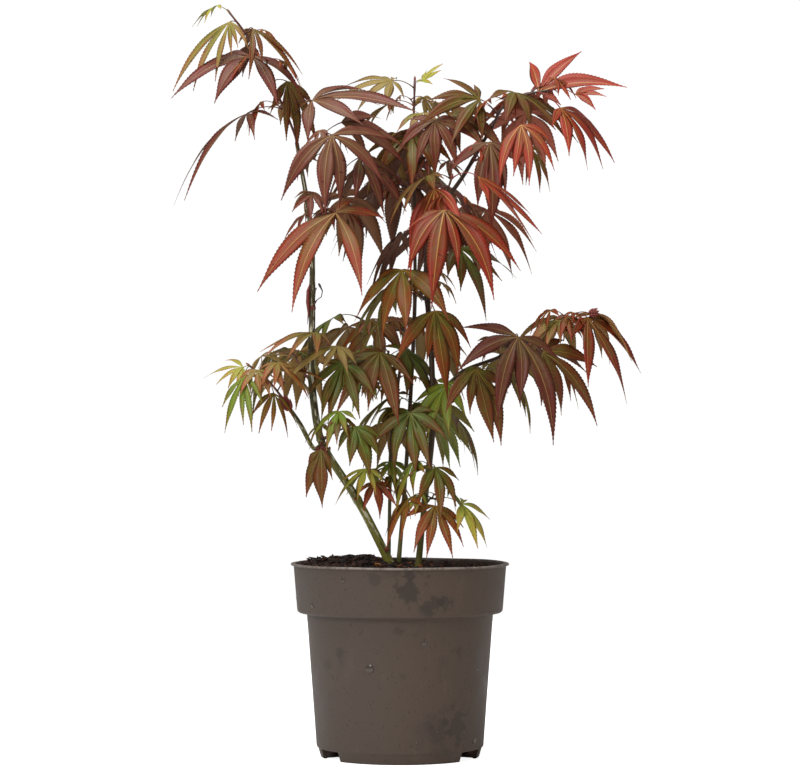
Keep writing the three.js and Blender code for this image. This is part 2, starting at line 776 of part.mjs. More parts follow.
// The leaves of a shoot. A leaf turns aside until it is clear of everything else, first of its own
// shoot's leaves too; one that never is, is left out.
function growLeaves(spec, curve, seed, others) {
  const chance = seeded(seed);
  const rows = spec.leaves.flatMap((row) => (row.pair ? [row, { ...row, turn: row.turn + 180 }] : [row]));
  const leaves = [];
  for (const row of rows) {
    const node = curve.getPoint(row.at * TWIG.lastLeaf);
    const numbers = [chance(), chance(), chance(), chance()];
    const options = ASIDE.map((aside) => leafSolid(leafPlace(node, row, numbers, aside)));
    const clear = options.filter((leaf) => !touches(leaf, others, CLEAR));
    const leaf = clear.find((one) => !touches(one, leaves, CLEAR)) || clear[0];
    if (leaf) leaves.push(leaf);
  }
  return leaves;
}

// ---------------------------------------------------------------- assembly
const plant = new THREE.Group();

function addPart(name, solid, colour, roughness) {
  const material = new THREE.MeshStandardMaterial({ color: colour, roughness, metalness: 0 });
  const mesh = new THREE.Mesh(geometryOf(solid), material);
  mesh.name = name;
  plant.add(mesh);
}

for (const [name, spec] of Object.entries(LIMBS)) growLimb(name, spec);
const stems = Object.keys(LIMBS).filter((name) => !LIMBS[name].from);
const pot = potSolid();
const compost = compostSolid(stems.map((name) => footSpace(limbs[name], LIMBS[name].sides)));
const fixed = [pot, compost, ...Object.values(limbs).map((limb) => limb.solid)];
const twigs = Object.values(SHOOTS).map(growTwig);

addPart("pot", pot, 0x5d544d, 0.6);
addPart("compost", compost, 0x241a16, 1);
for (const [name, limb] of Object.entries(limbs)) {
  addPart(name, limb.solid, name.endsWith("left") ? 0x6a7048 : 0x3e3424, 0.7);
}
const masses = [];
Object.entries(SHOOTS).forEach(([name, spec], i) => {
  const otherTwigs = twigs.filter((_, k) => k > i).map((twig) => twig.solid);
  const others = [...fixed, ...otherTwigs, ...masses];
  if (touches(twigs[i].solid, others, GAP / 3)) throw new Error(name + ": its twig meets something");
  const leaves = growLeaves(spec, twigs[i].curve, i + 1, others);
  masses.push(wasm.Manifold.union([twigs[i].solid, ...leaves]));
  addPart("foliage_" + name, masses[i], TONES[spec.tone], 0.6);
});

const middle = new THREE.Box3().setFromObject(plant).getCenter(new THREE.Vector3());
plant.position.set(-middle.x, -middle.y, 0);

export default plant;
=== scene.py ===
"""A young Japanese maple in a round plastic nursery pot.

The plant grows by the same rule as its solids: four stems, their side boughs, and shoots that carry
palmate leaves on thin stalks. Here the limbs get their bark, the leaves their toothed lobes and ribs,
and every shoot goes on into finer side twigs with young leaves. Lengths are millimetres round the pot's
axis until a mesh is made, and metres in the frame from there on.
"""

import math

import bpy
import numpy as np
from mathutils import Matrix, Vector, noise
from mathutils.kdtree import KDTree


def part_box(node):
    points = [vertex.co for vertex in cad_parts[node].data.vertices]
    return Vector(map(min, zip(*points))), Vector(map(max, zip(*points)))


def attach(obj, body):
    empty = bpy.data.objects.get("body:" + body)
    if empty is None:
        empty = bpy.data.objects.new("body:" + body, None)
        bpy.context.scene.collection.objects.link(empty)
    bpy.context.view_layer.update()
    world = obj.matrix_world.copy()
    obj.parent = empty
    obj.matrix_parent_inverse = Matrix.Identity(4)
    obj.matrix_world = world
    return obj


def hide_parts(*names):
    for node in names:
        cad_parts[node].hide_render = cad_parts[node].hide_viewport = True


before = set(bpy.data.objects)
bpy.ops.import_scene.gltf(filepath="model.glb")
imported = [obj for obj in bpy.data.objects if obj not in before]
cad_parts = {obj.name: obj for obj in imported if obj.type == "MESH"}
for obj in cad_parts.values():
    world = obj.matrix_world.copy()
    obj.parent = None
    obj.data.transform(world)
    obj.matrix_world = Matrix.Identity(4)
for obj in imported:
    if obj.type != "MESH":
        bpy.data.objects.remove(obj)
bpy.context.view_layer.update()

MM = 0.001
pot_low, pot_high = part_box("pot")
AXIS = np.array([(pot_low.x + pot_high.x) / 2, (pot_low.y + pot_high.y) / 2, 0.0])
TAU = 2 * math.pi
UP = np.array([0.0, 0.0, 1.0])

# ---------------------------------------------------------------- the plant's sizes
FOOT = 158  # height of the stems' feet in the compost
FLARE_SIZE, FLARE_REACH = 1.5, 7  # extra radius at a stem's foot
LIMB_STEPS = 2  # for each span of a solid limb
GAP = 0.3  # clearance at which a bough or twig starts
KNEE = 5  # how far it leaves its limb squarely
TWIG_RADII = (1.25, 0.75)  # at its root and tip
LAST_LEAF = 0.99  # how far along a twig its last leaf sits
STALK_SHARE, STALK_RISE, STALK_BEND, STALK_LIFT = 0.42, 0.2, 0.45, 0.3
STALK_RADIUS = 0.5
SAG = 0.9  # how far gravity bends a lobe
LOBES_OF_FIVE = ((-84, 0.52), (-39, 0.86), (0, 1), (39, 0.86), (84, 0.52))
LOBES_OF_SEVEN = ((-114, 0.4), (-70, 0.74), (-34, 0.93), (0, 1), (34, 0.93), (70, 0.74), (114, 0.4))
FULL_SIZE = 50  # leaves at least this long have seven lobes
JITTER_TURN, JITTER_DROOP, JITTER_ROLL, JITTER_SIZE = 7, 7, 12, 0.06
ASIDE = (
    (0, 0), (0, 14), (0, -14), (14, 0), (-14, 0), (16, 14), (-16, 14), (28, 0), (-28, 0),
    (30, -14), (-30, -14), (42, 8), (-42, 8),
)  # turns and droops by which a leaf keeps clear of its neighbours


def leaf(at, size, turn, droop, tone=None, roll=0, rise=STALK_RISE, stalk=STALK_SHARE, pair=False,
         lobes=None, swing=0, slim=1, sag=1):
    """One leaf's row: its place along the twig, its middle lobe's length, and how it is held.

    A leaf that has lost or crossed some lobes names those it shows, each by its angle from the middle one
    and its share of the size. The swing is how far the blade has twisted on its stalk. A slim leaf has
    narrower lobes, as folded ones look, and a small sag means stiff ones.
    """
    held = dict(droop=droop, roll=roll, rise=rise, stalk=stalk)
    look = dict(tone=tone, lobes=lobes, swing=swing, slim=slim, sag=sag)
    return dict(at=at, size=size, turn=turn, pair=pair, **held, **look)


def shoot(limb, height, tone, route, leaves):
    """One shoot's row: the limb it leaves and at what height (None for the tip), its leaves' tone, the
    points of its twig, and its leaves."""
    return dict(limb=limb, height=height, tone=tone, route=route, leaves=leaves)


def from_angle(turn):
    """The level direction at an angle round the pot's axis."""
    return np.array([math.cos(turn), math.sin(turn), 0.0])


LIMBS = {
    "stem_left": dict(
        route=[
            (-4, -6, FOOT), (-36, -10, 221), (-63, -14, 263), (-69, -14, 276), (-76, -12, 322),
            (-76, -8, 391), (-77, -10, 455), (-89, -14, 530),
        ],
        radius=(5, 1.7),
    ),
    "stem_right": dict(
        route=[
            (15, -8, FOOT), (21, -12, 218), (28, -14, 283), (27, -12, 350), (23, -8, 428),
            (32, -2, 468), (57, 6, 507), (80, 12, 547),
        ],
        radius=(3.6, 1.4),
    ),
    "stem_centre": dict(
        route=[(-2, 9, FOOT), (4, 17, 232), (9, 27, 309), (13, 35, 396), (13, 38, 455), (12, 38, 525)],
        radius=(2.6, 1.1),
    ),
    "stem_thin": dict(
        route=[(-10, 18, FOOT), (-9, 30, 222), (-8, 42, 270), (-2, 56, 322), (4, 68, 366)],
        radius=(2.2, 1.1),
    ),
    "bough_left": dict(
        limb="stem_left",
        height=270,
        route=[(-86, -20, 288), (-101, -26, 310)],
        radius=(2.3, 1.7),
    ),
    "bough_right": dict(
        limb="stem_right",
        height=314,
        route=[(52, -6, 332), (88, 2, 347), (125, 2, 368)],
        radius=(2.1, 1.3),
    ),
    "bough_back": dict(
        limb="stem_centre",
        height=402,
        route=[(26, 66, 425), (42, 92, 452)],
        radius=(1.6, 1.1),
    ),
}

SHOOTS = {
    "crown_left_tip": shoot("stem_left", None, "rust", [
        (-106, -16, 573), (-130, -14, 620), (-147, -14, 643),
    ], [
        leaf(0.42, 88, -14, -8, "purple", roll=28, rise=0.3, stalk=0.3,
             lobes=((-92, 0.48), (-35, 0.68), (0, 1), (18, 0.6), (50, 0.58), (175, 0.25))),
        leaf(0.42, 86, 186, 30, "purple", rise=-0.1, stalk=0.36, sag=1.75, slim=0.74,
             lobes=((-75, 0.3), (-24, 0.94), (4, 0.8), (95, 0.38), (165, 0.25))),
        leaf(0.56, 66, -14, 76, "umber", rise=0, stalk=0.2, swing=35,
             lobes=((-60, 0.5), (-25, 0.75), (0, 0.85), (30, 0.8), (65, 0.5)), slim=0.8),
        leaf(0.6, 72, -154, 12, "purple", roll=-28, rise=0.9, stalk=0.2,
             lobes=((-45, 0.35), (-14, 0.9), (18, 0.72), (98, 0.68), (135, 0.66))),
        leaf(0.8, 58, -74, 58, "umber", rise=0.1, stalk=0.34, slim=0.52,
             lobes=((-10, 0.8), (18, 0.5), (45, 0.95), (58, 0.85))),
        leaf(0.72, 50, 110, 40, "dusk", lobes=((-40, 0.45), (0, 0.6), (40, 0.45))),
        leaf(0.88, 53, -118, 60, "amber", rise=0.1, stalk=0.3, slim=0.5,
             lobes=((-56, 1.3), (-36, 1.2), (-8, 1.0), (14, 0.55), (36, 0.5), (62, 0.55))),
        leaf(1, 30, 200, 30, "lime", rise=0.5),
    ]),
    "inner_left": shoot("stem_left", 458, "maroon", [(-66, -26, 470), (-56, -32, 496)], [
        leaf(0.6, 88, -68, 53, "rust", roll=12, rise=0, stalk=0.46, slim=0.9,
             lobes=((-75, 0.9), (-50, 1), (14, 0.87), (100, 0.4), (140, 0.25))),
        leaf(1, 62, -30, 40, "dusk", rise=0.8,
             lobes=((-50, 0.75), (-15, 0.85), (20, 0.9), (80, 0.8), (110, 0.6))),
        leaf(0.8, 58, 60, 40),
    ]),
    "shoulder_left": shoot("stem_left", 512, "purple", [(-78, -28, 522), (-70, -38, 528)], [
        leaf(1, 80, -80, 54, rise=0.1, slim=0.92,
             lobes=((-65, 0.76), (-24, 0.8), (8, 0.72), (70, 0.64), (112, 0.62))),
        leaf(0.7, 64, -12, 14, rise=0.9, swing=45,
             lobes=((-20, 0.6), (10, 0.95), (35, 1), (60, 0.7))),
    ]),
    "crown_centre": shoot("stem_centre", None, "amber", [(12, 36, 552), (13, 32, 590)], [
        leaf(0.45, 54, -62, 52, "copper", pair=True),
        leaf(0.82, 44, 8, 20, pair=True),
        leaf(0.95, 48, 188, -12, "khaki", roll=-35, rise=0.3),
        leaf(1, 24, 10, -58, "lime", roll=30, rise=0.1, stalk=0.3),
    ]),
    "crown_inner": shoot("stem_centre", 508, "maroon", [(20, 20, 530), (27, 10, 546)], [
        leaf(1, 52, -80, 56),
        leaf(0.8, 56, -6, 14, "umber", roll=40, rise=0.9),
        leaf(0.6, 48, 120, 30, "dusk"),
    ]),
    "crown_right_tip": shoot("stem_right", None, "scarlet", [(88, 10, 562), (108, 6, 574), (130, 2, 578)], [
        leaf(0.45, 68, -30, 18, "umber", rise=1, stalk=0.25),
        leaf(0.4, 60, 200, 2, "umber", roll=-50, rise=0.7, stalk=0.3,
             lobes=((-100, 0.3), (-60, 0.57), (-25, 0.72), (-5, 0.95), (35, 0.85), (75, 0.6))),
        leaf(0.75, 62, 8, -44, roll=42, stalk=0.22,
             lobes=((-60, 0.35), (-20, 1.05), (20, 0.85), (60, 0.8))),
        leaf(0.88, 64, -36, 36, rise=-0.6, pair=True,
             lobes=((-60, 0.45), (-28, 0.8), (0, 0.9), (30, 0.9), (60, 1), (90, 0.85))),
        leaf(1, 44, -4, -6, roll=40, rise=-0.2, stalk=0.6,
             lobes=((-25, 0.55), (0, 0.6), (25, 0.55), (60, 0.3))),
        leaf(0.7, 56, 80, 30, "crimson"),
    ]),
    "crown_right_inner": shoot("stem_right", 518, "scarlet", [(84, -18, 528), (98, -32, 536)], [
        leaf(0.6, 74, -98, 64, "maroon", stalk=0.26,
             lobes=((-75, 0.5), (-18, 0.72), (10, 0.95), (35, 0.6), (75, 0.4))),
        leaf(1, 50, -72, 48, rise=0.3, slim=0.86,
             lobes=((-46, 1), (-14, 0.85), (10, 1), (48, 0.85), (80, 0.5))),
        leaf(1, 42, -40, 64, "copper", rise=-0.7),
    ]),
    "heart": shoot("stem_right", 438, "crimson", [(28, -26, 447), (35, -38, 470), (44, -42, 498)], [
        leaf(0.6, 86, -80, 46, rise=0.3, stalk=0.5, slim=0.86,
             lobes=((-85, 0.35), (-47, 0.7), (-15, 0.92), (20, 0.55), (47, 0.86), (68, 0.82))),
        leaf(0.5, 72, -36, 48, "olive", rise=-0.3,
             lobes=((-70, 0.5), (-30, 0.6), (0, 0.92), (45, 0.6), (72, 0.65), (88, 1.05))),
        leaf(0.5, 62, 190, 44, "dusk", rise=0.1, swing=35),
        leaf(0.9, 80, -120, 66, "scarlet", rise=0.1, stalk=0.25, slim=0.84,
             lobes=((-42, 0.6), (-20, 0.92), (6, 0.7), (36, 0.6), (66, 0.5))),
        leaf(1, 66, -42, 36, "scarlet", rise=0, stalk=0.5, sag=0.4,
             lobes=((-20, 0.5), (20, 1), (45, 1), (80, 0.9))),
        leaf(1, 54, 198, 24, "umber", rise=0.1),
    ]),
    "breast": shoot("stem_right", 396, "copper", [(17, -20, 405), (12, -32, 415)], [
        leaf(1, 84, -108, 42, rise=0.25, stalk=0.22,
             lobes=((-85, 0.3), (-50, 0.65), (-10, 0.7), (28, 0.68), (75, 0.78))),
        leaf(0.5, 74, -68, 60, rise=-0.5,
             lobes=((-60, 0.68), (-22, 0.6), (0, 1.05), (38, 0.72), (72, 0.52))),
        leaf(0.7, 58, 170, 40, "olive", rise=0),
    ]),
    "waist": shoot("stem_thin", 318, "copper", [(-12, 26, 338), (-10, 0, 350)], [
        leaf(1, 62, -105, 50, "umber", rise=0,
             lobes=((-72, 0.7), (-34, 0.95), (-6, 0.8), (26, 1), (64, 0.6))),
        leaf(0.85, 52, -45, 45, "olive", rise=0.3),
        leaf(0.9, 40, 170, 25, "green", rise=0.6),
    ]),
    "left_low": shoot("bough_left", None, "amber", [(-113, -28, 325), (-129, -30, 338)], [
        leaf(0.75, 46, -50, 10, "copper", roll=20, rise=0.4, slim=0.6),
        leaf(0.7, 42, -70, 56, "copper", rise=-0.7, slim=0.6,
             lobes=((-70, 0.7), (-40, 0.9), (-8, 0.8), (22, 0.95), (60, 0.8))),
        leaf(1, 48, -108, 64, "green", rise=-0.5, slim=0.6,
             lobes=((-48, 0.6), (-18, 1), (4, 0.85), (24, 0.95), (62, 0.6))),
        leaf(1, 30, 184, 8, "lime", roll=-30, rise=-0.2, stalk=0.2, slim=0.8,
             lobes=((-71, 0.8), (-25, 1), (8, 0.75), (38, 0.7), (68, 0.85), (96, 0.7))),
        leaf(0.8, 44, 100, 24, rise=0.9, slim=0.7,
             lobes=((-146, 0.6), (-112, 0.75), (-75, 0.6), (30, 0.5))),
    ]),
    "waist_left": shoot("stem_thin", 306, "amber", [(-24, 6, 333), (-45, -14, 344), (-60, -28, 354)], [
        leaf(1, 50, 200, 22, rise=1, stalk=0.25),
        leaf(0.95, 60, 248, 44, "khaki", stalk=0.25,
             lobes=((-108, 0.55), (-72, 0.95), (-40, 0.45), (6, 0.5), (50, 0.35))),
        leaf(0.7, 54, -92, 54, "olive", rise=-0.1),
        leaf(0.6, 48, 95, 36, "green"),
    ]),
    "right_tip": shoot("bough_right", None, "rust", [(138, 2, 376), (151, -2, 383)], [
        leaf(0.7, 42, -95, 44, "amber", rise=0.1,
             lobes=((-55, 0.95), (-30, 0.8), (0, 0.55), (40, 0.4))),
        leaf(1, 74, -46, 50, "crimson", rise=-0.2, stalk=0.2,
             lobes=((-75, 0.35), (-36, 0.8), (14, 1), (62, 0.86), (92, 0.65))),
        leaf(0.8, 56, 100, 40, "copper", rise=0.12),
        leaf(1, 48, 25, 44, rise=0),
    ]),
    "right_back": shoot("bough_right", 352, "copper", [(110, 22, 358), (112, 38, 360)], [
        leaf(1, 66, 80, 40, "dusk", rise=0.05),
        leaf(0.8, 58, 168, 54, "umber", rise=-0.3),
        leaf(0.9, 52, 8, 50, rise=-0.4),
    ]),
    "right_mid": shoot("bough_right", 349, "maroon", [(94, -16, 354), (98, -28, 358)], [
        leaf(1, 84, -88, 54, "dusk", rise=0.1, slim=0.92,
             lobes=((-118, 0.5), (-80, 0.62), (-28, 0.8), (10, 0.6), (38, 1), (85, 0.38))),
        leaf(0.8, 76, -26, 40, "umber", rise=-0.2, swing=35,
             lobes=((-30, 0.6), (0, 0.7), (45, 0.95), (85, 0.7), (120, 0.4))),
    ]),
    "right_inner": shoot("bough_right", 330, "olive", [(56, -18, 332), (60, -28, 332)], [
        leaf(1, 64, -80, 58, "umber", rise=0.1,
             lobes=((-60, 0.72), (-25, 0.6), (12, 0.95), (36, 1), (70, 0.5))),
        leaf(0.7, 48, -140, 56, "green", rise=-0.5),
        leaf(1, 46, -12, 58, rise=-0.1, stalk=0.9),
    ]),
    "middle": shoot("stem_centre", 288, "olive", [(16, 2, 298), (10, -18, 302)], [
        leaf(1, 50, -95, 54, rise=-0.2),
        leaf(0.5, 48, 50, 40, "green"),
        leaf(0.8, 54, 200, 44, rise=0.6),
    ]),
    "node_left": shoot("stem_left", 275, "olive", [(-56, -30, 281), (-44, -36, 286)], [
        leaf(0.5, 52, -112, 72, "umber", rise=-0.6, slim=1.4,
             lobes=((-62, 0.35), (-26, 0.78), (8, 0.95), (46, 0.52))),
        leaf(1, 50, -72, 48, rise=0, slim=1.2,
             lobes=((-60, 0.5), (-22, 0.75), (8, 0.9), (40, 0.7), (80, 0.5))),
        leaf(1, 36, -140, 38, "green", rise=0.9),
    ]),
    "low_left": shoot("stem_thin", 236, "green", [(-20, 6, 244), (-26, -8, 248)], [
        leaf(1, 38, -120, 34, "lime", rise=0.1, slim=0.85,
             lobes=((-85, 0.6), (-42, 0.95), (0, 0.8), (38, 0.75), (70, 0.5))),
        leaf(0.8, 40, -30, 36, "copper", rise=-0.2),
        leaf(0.8, 34, 120, 30),
        leaf(1, 36, -75, 50, "rust", rise=-0.7),
    ]),
    "low_mid": shoot("stem_right", 248, "green", [(26, -26, 252)], [
        leaf(1, 40, 215, 36),
        leaf(0.9, 42, -80, 44, "olive", rise=0),
    ]),
    "low_right": shoot("stem_right", 222, "green", [(26, -26, 224), (30, -34, 224)], [
        leaf(0.8, 43, 215, 48, "copper", rise=0, stalk=0.6),
        leaf(1, 46, -95, 50, "copper", rise=-0.3, slim=0.9,
             lobes=((-78, 0.6), (-34, 0.9), (-8, 1), (24, 1), (52, 0.85), (84, 0.6))),
        leaf(1, 50, -15, 36, "lime", roll=24, rise=-0.2, stalk=0.5,
             lobes=((-75, 0.6), (-45, 0.8), (-20, 0.85), (60, 0.65), (110, 0.45))),
    ]),
    "back_crown": shoot("stem_centre", 488, "maroon", [(2, 76, 504), (-12, 98, 518)], [
        leaf(0.5, 76, 10, 34),
        leaf(0.6, 66, 172, 42, "dusk", rise=-0.2),
        leaf(0.75, 70, 100, 40, "dusk"),
        leaf(1, 58, 150, 26),
        leaf(1, 58, 40, 30, "umber"),
    ]),
    "back_right": shoot("bough_back", None, "crimson", [(54, 108, 470), (68, 120, 482)], [
        leaf(0.6, 62, -56, 40, "dusk", pair=True),
        leaf(0.9, 72, 60, 36),
        leaf(1, 50, 110, 20, "maroon"),
    ]),
    "back_left": shoot("stem_thin", None, "copper", [(-14, 84, 372), (-38, 98, 384)], [
        leaf(0.45, 70, 45, 42, "umber", pair=True),
        leaf(0.8, 68, 140, 38, rise=0),
        leaf(1, 54, 185, 30, "olive", rise=0),
    ]),
    "back_low": shoot("stem_thin", 268, "olive", [(12, 68, 290), (30, 88, 300)], [
        leaf(0.6, 58, 130, 44, "copper"),
        leaf(1, 58, 85, 40),
        leaf(0.9, 52, -20, 40, rise=0),
    ]),
    "back_low_left": shoot("stem_left", 328, "olive", [(-88, 18, 340), (-92, 40, 348)], [
        leaf(1, 56, 80, 42, "copper"),
        leaf(0.9, 54, 170, 40),
    ]),
}


# ---------------------------------------------------------------- curves and numbers
def unit(v):
    return v / np.maximum(np.linalg.norm(v, axis=-1, keepdims=True), 1e-12)


def seeded(seed):
    """Numbers from 0 to 1 by a linear congruential rule, the same ones for the same seed."""
    state = (seed * 2654435761) % 4294967296

    def draw():
        nonlocal state
        state = (state * 1664525 + 1013904223) % 4294967296
        return state / 4294967296

    return draw


def spread(draw, low, high):
    return low + (high - low) * draw()


def ease(x):
    x = np.clip(x, 0, 1)
    return x * x * (3 - 2 * x)


class Curve:
    """A centripetal Catmull-Rom curve through its points."""

    def __init__(self, points):
        points = [np.array(p, float) for p in points]
        self.points = [2 * points[0] - points[1], *points, 2 * points[-1] - points[-2]]
        self.spans = len(points) - 1

    def at(self, t):
        i = min(int(self.spans * t), self.spans - 1)
        w = self.spans * t - i
        a, b, c, d = self.points[i:i + 4]
        before, own, after = (math.sqrt(math.dist(*ends)) for ends in ((a, b), (b, c), (c, d)))
        leave = ((b - a) / before - (c - a) / (before + own) + (c - b) / own) * own
        arrive = ((c - b) / own - (d - b) / (own + after) + (d - c) / after) * own
        square = 3 * (c - b) - 2 * leave - arrive
        cube = 2 * (b - c) + leave + arrive
        return b + leave * w + square * w**2 + cube * w**3

    def along(self, steps):
        return np.array([self.at(i / steps) for i in range(steps + 1)])


# ---------------------------------------------------------------- limbs
HALVINGS = 30  # in the search for a height on a limb
limbs = {}


def place_on(limb, height):
    """Point, direction and radius on a limb at a height, or at its tip."""
    curve = limb["curve"]
    if height is None:
        steps = limb["steps"]
        return curve.at(1), unit(curve.at(1) - curve.at(1 - 1 / steps)), 0.0
    low, high = 0.0, 1.0
    for _ in range(HALVINGS):
        middle = (low + high) / 2
        if curve.at(middle)[2] < height:
            low = middle
        else:
            high = middle
    nearby = min(low + 1e-3, 1.0)
    return curve.at(low), unit(curve.at(nearby) - curve.at(nearby - 1e-3)), limb["radius_at"](low)


def curve_from(name, height, route):
    """A curve that leaves a limb's side squarely, or its tip straight on, and goes through a route."""
    place, direction, radius = place_on(limbs[name], height)
    away = direction
    if height is not None:
        towards = np.array(route[0], float) - place
        away = unit(towards - direction * (towards @ direction))
    start = place + away * (radius + GAP)
    return Curve([start, start + away * KNEE, *route]), start - away * (GAP + 0.6 * radius)


def limb_of(spec):
    if "limb" in spec:
        curve, sunk = curve_from(spec["limb"], spec["height"], spec["route"])
    else:
        curve, sunk = Curve(spec["route"]), None
    root, tip = spec["radius"]

    def radius_at(t):
        flare = FLARE_SIZE * math.exp(-(curve.at(t)[2] - FOOT) / FLARE_REACH) if sunk is None else 0
        return root + (tip - root) * t + flare

    return dict(curve=curve, sunk=sunk, radius_at=radius_at, steps=LIMB_STEPS * curve.spans)


for name, spec in LIMBS.items():
    limbs[name] = limb_of(spec)


# ---------------------------------------------------------------- meshes
class Shape:
    """Closed skins in millimetres round the pot's axis, joined into one mesh."""

    def __init__(self):
        self.points, self.grain, self.corners, self.sizes, self.tints = [], [], [], [], []
        self.count = 0

    def skin(self, rings, tints=0, grain=None):
        """Quads between rings of points, anticlockwise as seen from the far end, and two end faces."""
        steps, around = rings.shape[:2]
        index = np.arange(steps * around).reshape(steps, around) + self.count
        ahead = np.roll(index, -1, axis=1)
        quads = np.stack([index[:-1], ahead[:-1], ahead[1:], index[1:]], axis=-1)
        tints = np.broadcast_to(tints, (steps - 1, around)).ravel()
        self.points.append(rings.reshape(-1, 3))
        self.grain.append(np.zeros((steps * around, 3)) if grain is None else grain.reshape(-1, 3))
        self.corners += [quads.ravel(), index[0][::-1], index[-1]]
        self.sizes += [np.full(tints.size, 4), np.full(2, around)]
        self.tints += [tints, tints[[0, -1]]]
        self.count += steps * around

    def piece(self, name, finishes, slot, nodes=()):
        """The mesh object, which rides on the plant's body and stands for these solids."""
        mesh = bpy.data.meshes.new(name)
        points = np.concatenate(self.points) * MM + AXIS
        corners = np.concatenate(self.corners).astype(np.int32)
        sizes = np.concatenate(self.sizes)
        used, numbers = np.unique(np.concatenate(self.tints), return_inverse=True)
        mesh.vertices.add(len(points))
        mesh.vertices.foreach_set("co", points.astype(np.float32).ravel())
        mesh.loops.add(len(corners))
        mesh.loops.foreach_set("vertex_index", corners)
        mesh.polygons.add(len(sizes))
        starts = np.cumsum(sizes) - sizes
        mesh.polygons.foreach_set("loop_start", starts.astype(np.int32))
        mesh.polygons.foreach_set("material_index", numbers.astype(np.int32))
        mesh.polygons.foreach_set("use_smooth", np.ones(len(sizes), bool))
        grain = mesh.attributes.new("grain", "FLOAT_VECTOR", "POINT")
        grain.data.foreach_set("vector", np.concatenate(self.grain).astype(np.float32).ravel())
        mesh.update(calc_edges=True)
        for number in used:
            mesh.materials.append(finishes[number])
        piece = bpy.data.objects.new(name, mesh)
        bpy.context.scene.collection.objects.link(piece)
        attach(piece, "root")
        if nodes:
            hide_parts(*nodes)
        return piece


def frames_along(centres):
    """For each centre of a line, its direction and two directions square to it that don't twist."""
    ahead = unit(np.gradient(centres, axis=0))
    across = np.empty_like(ahead)
    normal = np.array([0.0, 1.0, 0.0])
    for i, way in enumerate(ahead):
        normal = normal - way * (normal @ way)
        if np.linalg.norm(normal) < 0.05:
            normal = np.array([1.0, 0.0, 0.0]) - way * way[0]
        normal = unit(normal)
        across[i] = normal
    return ahead, across, np.cross(ahead, across)


def tube(centres, radii, sides):
    """Rings square to a line of centres, with one radius for a ring or one for each of its points."""
    centres = np.asarray(centres, float)
    _, across, up = frames_along(centres)
    angle = np.arange(sides) * TAU / sides
    radii = np.asarray(radii, float)
    radii = np.broadcast_to(radii if radii.ndim == 2 else radii.reshape(-1, 1), (len(centres), sides))
    ways = across[:, None] * np.cos(angle)[:, None] + up[:, None] * np.sin(angle)[:, None]
    return centres[:, None] + ways * radii[..., None]


def turned(profile, sides):
    """Rings of a profile of [radius, height] turned round the pot's axis."""
    profile = np.asarray(profile, float)
    angle = np.arange(sides) * TAU / sides
    radius = np.maximum(profile[:, :1], 0.05)
    height = np.broadcast_to(profile[:, 1:], (len(profile), sides))
    return np.stack([radius * np.cos(angle), radius * np.sin(angle), height], axis=-1)


def rounded(corners, steps=5):
    """A profile whose corners [radius, height, rounding] are arcs, near enough."""
    made = []
    for i, (x, z, size) in enumerate(corners):
        here = np.array([x, z], float)
        if not size or i in (0, len(corners) - 1):
            made.append(here)
            continue
        before = np.array(corners[i - 1][:2], float) - here
        after = np.array(corners[i + 1][:2], float) - here
        start = here + unit(before) * min(size, np.linalg.norm(before) / 2)
        end = here + unit(after) * min(size, np.linalg.norm(after) / 2)
        for t in np.linspace(0, 1, steps):
            made.append((1 - t) ** 2 * start + 2 * t * (1 - t) * here + t * t * end)
    return made


# ---------------------------------------------------------------- finishes
def linear(code):
    """A colour's linear values from its hex code."""
    parts = [int(code[i:i + 2], 16) / 255 for i in (0, 2, 4)]
    return [p / 12.92 if p <= 0.04045 else ((p + 0.055) / 1.055) ** 2.4 for p in parts]


def blend_colours(a, b, t):
    return [x + (y - x) * t for x, y in zip(a, b)]


def plain_finish(name, colour, roughness, **values):
    """A material of one base colour, with its numbers on the shader's own sockets."""
    material = bpy.data.materials.new(name)
    material.use_nodes = True
    shader = material.node_tree.nodes["Principled BSDF"]
    shader.inputs["Base Color"].default_value = (*colour, 1)
    shader.inputs["Roughness"].default_value = roughness
    for key, value in values.items():
        shader.inputs[key.replace("_", " ")].default_value = value
    return material


def is_socket(source):
    return isinstance(source, bpy.types.NodeSocket)


def link(tree, source, target):
    """Feeds a socket from another one, or sets it to a value."""
    if is_socket(source):
        tree.links.new(source, target)
    else:
        target.default_value = source


def node(tree, kind, feeds=(), **settings):
    """A shader node with its settings, and with its inputs fed by their names or numbers."""
    made = tree.nodes.new(kind if kind.startswith("NodeGroup") else "ShaderNode" + kind)
    for key, value in settings.items():
        setattr(made, key, value)
    for key, source in dict(feeds).items():
        link(tree, source, made.inputs[key])
    return made


def noise_of(tree, vector, scale, detail=3.0, roughness=0.5):
    feeds = dict(Vector=vector, Scale=scale, Detail=detail, Roughness=roughness)
    return node(tree, "TexNoise", feeds).outputs["Fac"]


def range_of(tree, value, low, high, to_low=0.0, to_high=1.0):
    feeds = {"Value": value, "From Min": low, "From Max": high, "To Min": to_low, "To Max": to_high}
    return node(tree, "MapRange", feeds, interpolation_type="SMOOTHSTEP").outputs["Result"]


def maths(tree, operation, a, b):
    return node(tree, "Math", {0: a, 1: b}, operation=operation).outputs["Value"]


def times(tree, a, b):
    return maths(tree, "MULTIPLY", a, b)


def plus(tree, a, b):
    return maths(tree, "ADD", a, b)


def mixed(tree, factor, a, b):
    """Colour b laid over colour a by a factor."""
    a, b = (colour if is_socket(colour) else (*colour, 1) for colour in (a, b))
    return node(tree, "Mix", {0: factor, 6: a, 7: b}, data_type="RGBA").outputs[2]


def laid_over(tree, colour, mask, strength, code):
    """A colour with another one over it, by a mask and a strength."""
    return mixed(tree, times(tree, mask, strength), colour, linear(code))


def stretched(tree, vector, scale):
    return node(tree, "VectorMath", {0: vector, 1: scale}, operation="MULTIPLY").outputs["Vector"]


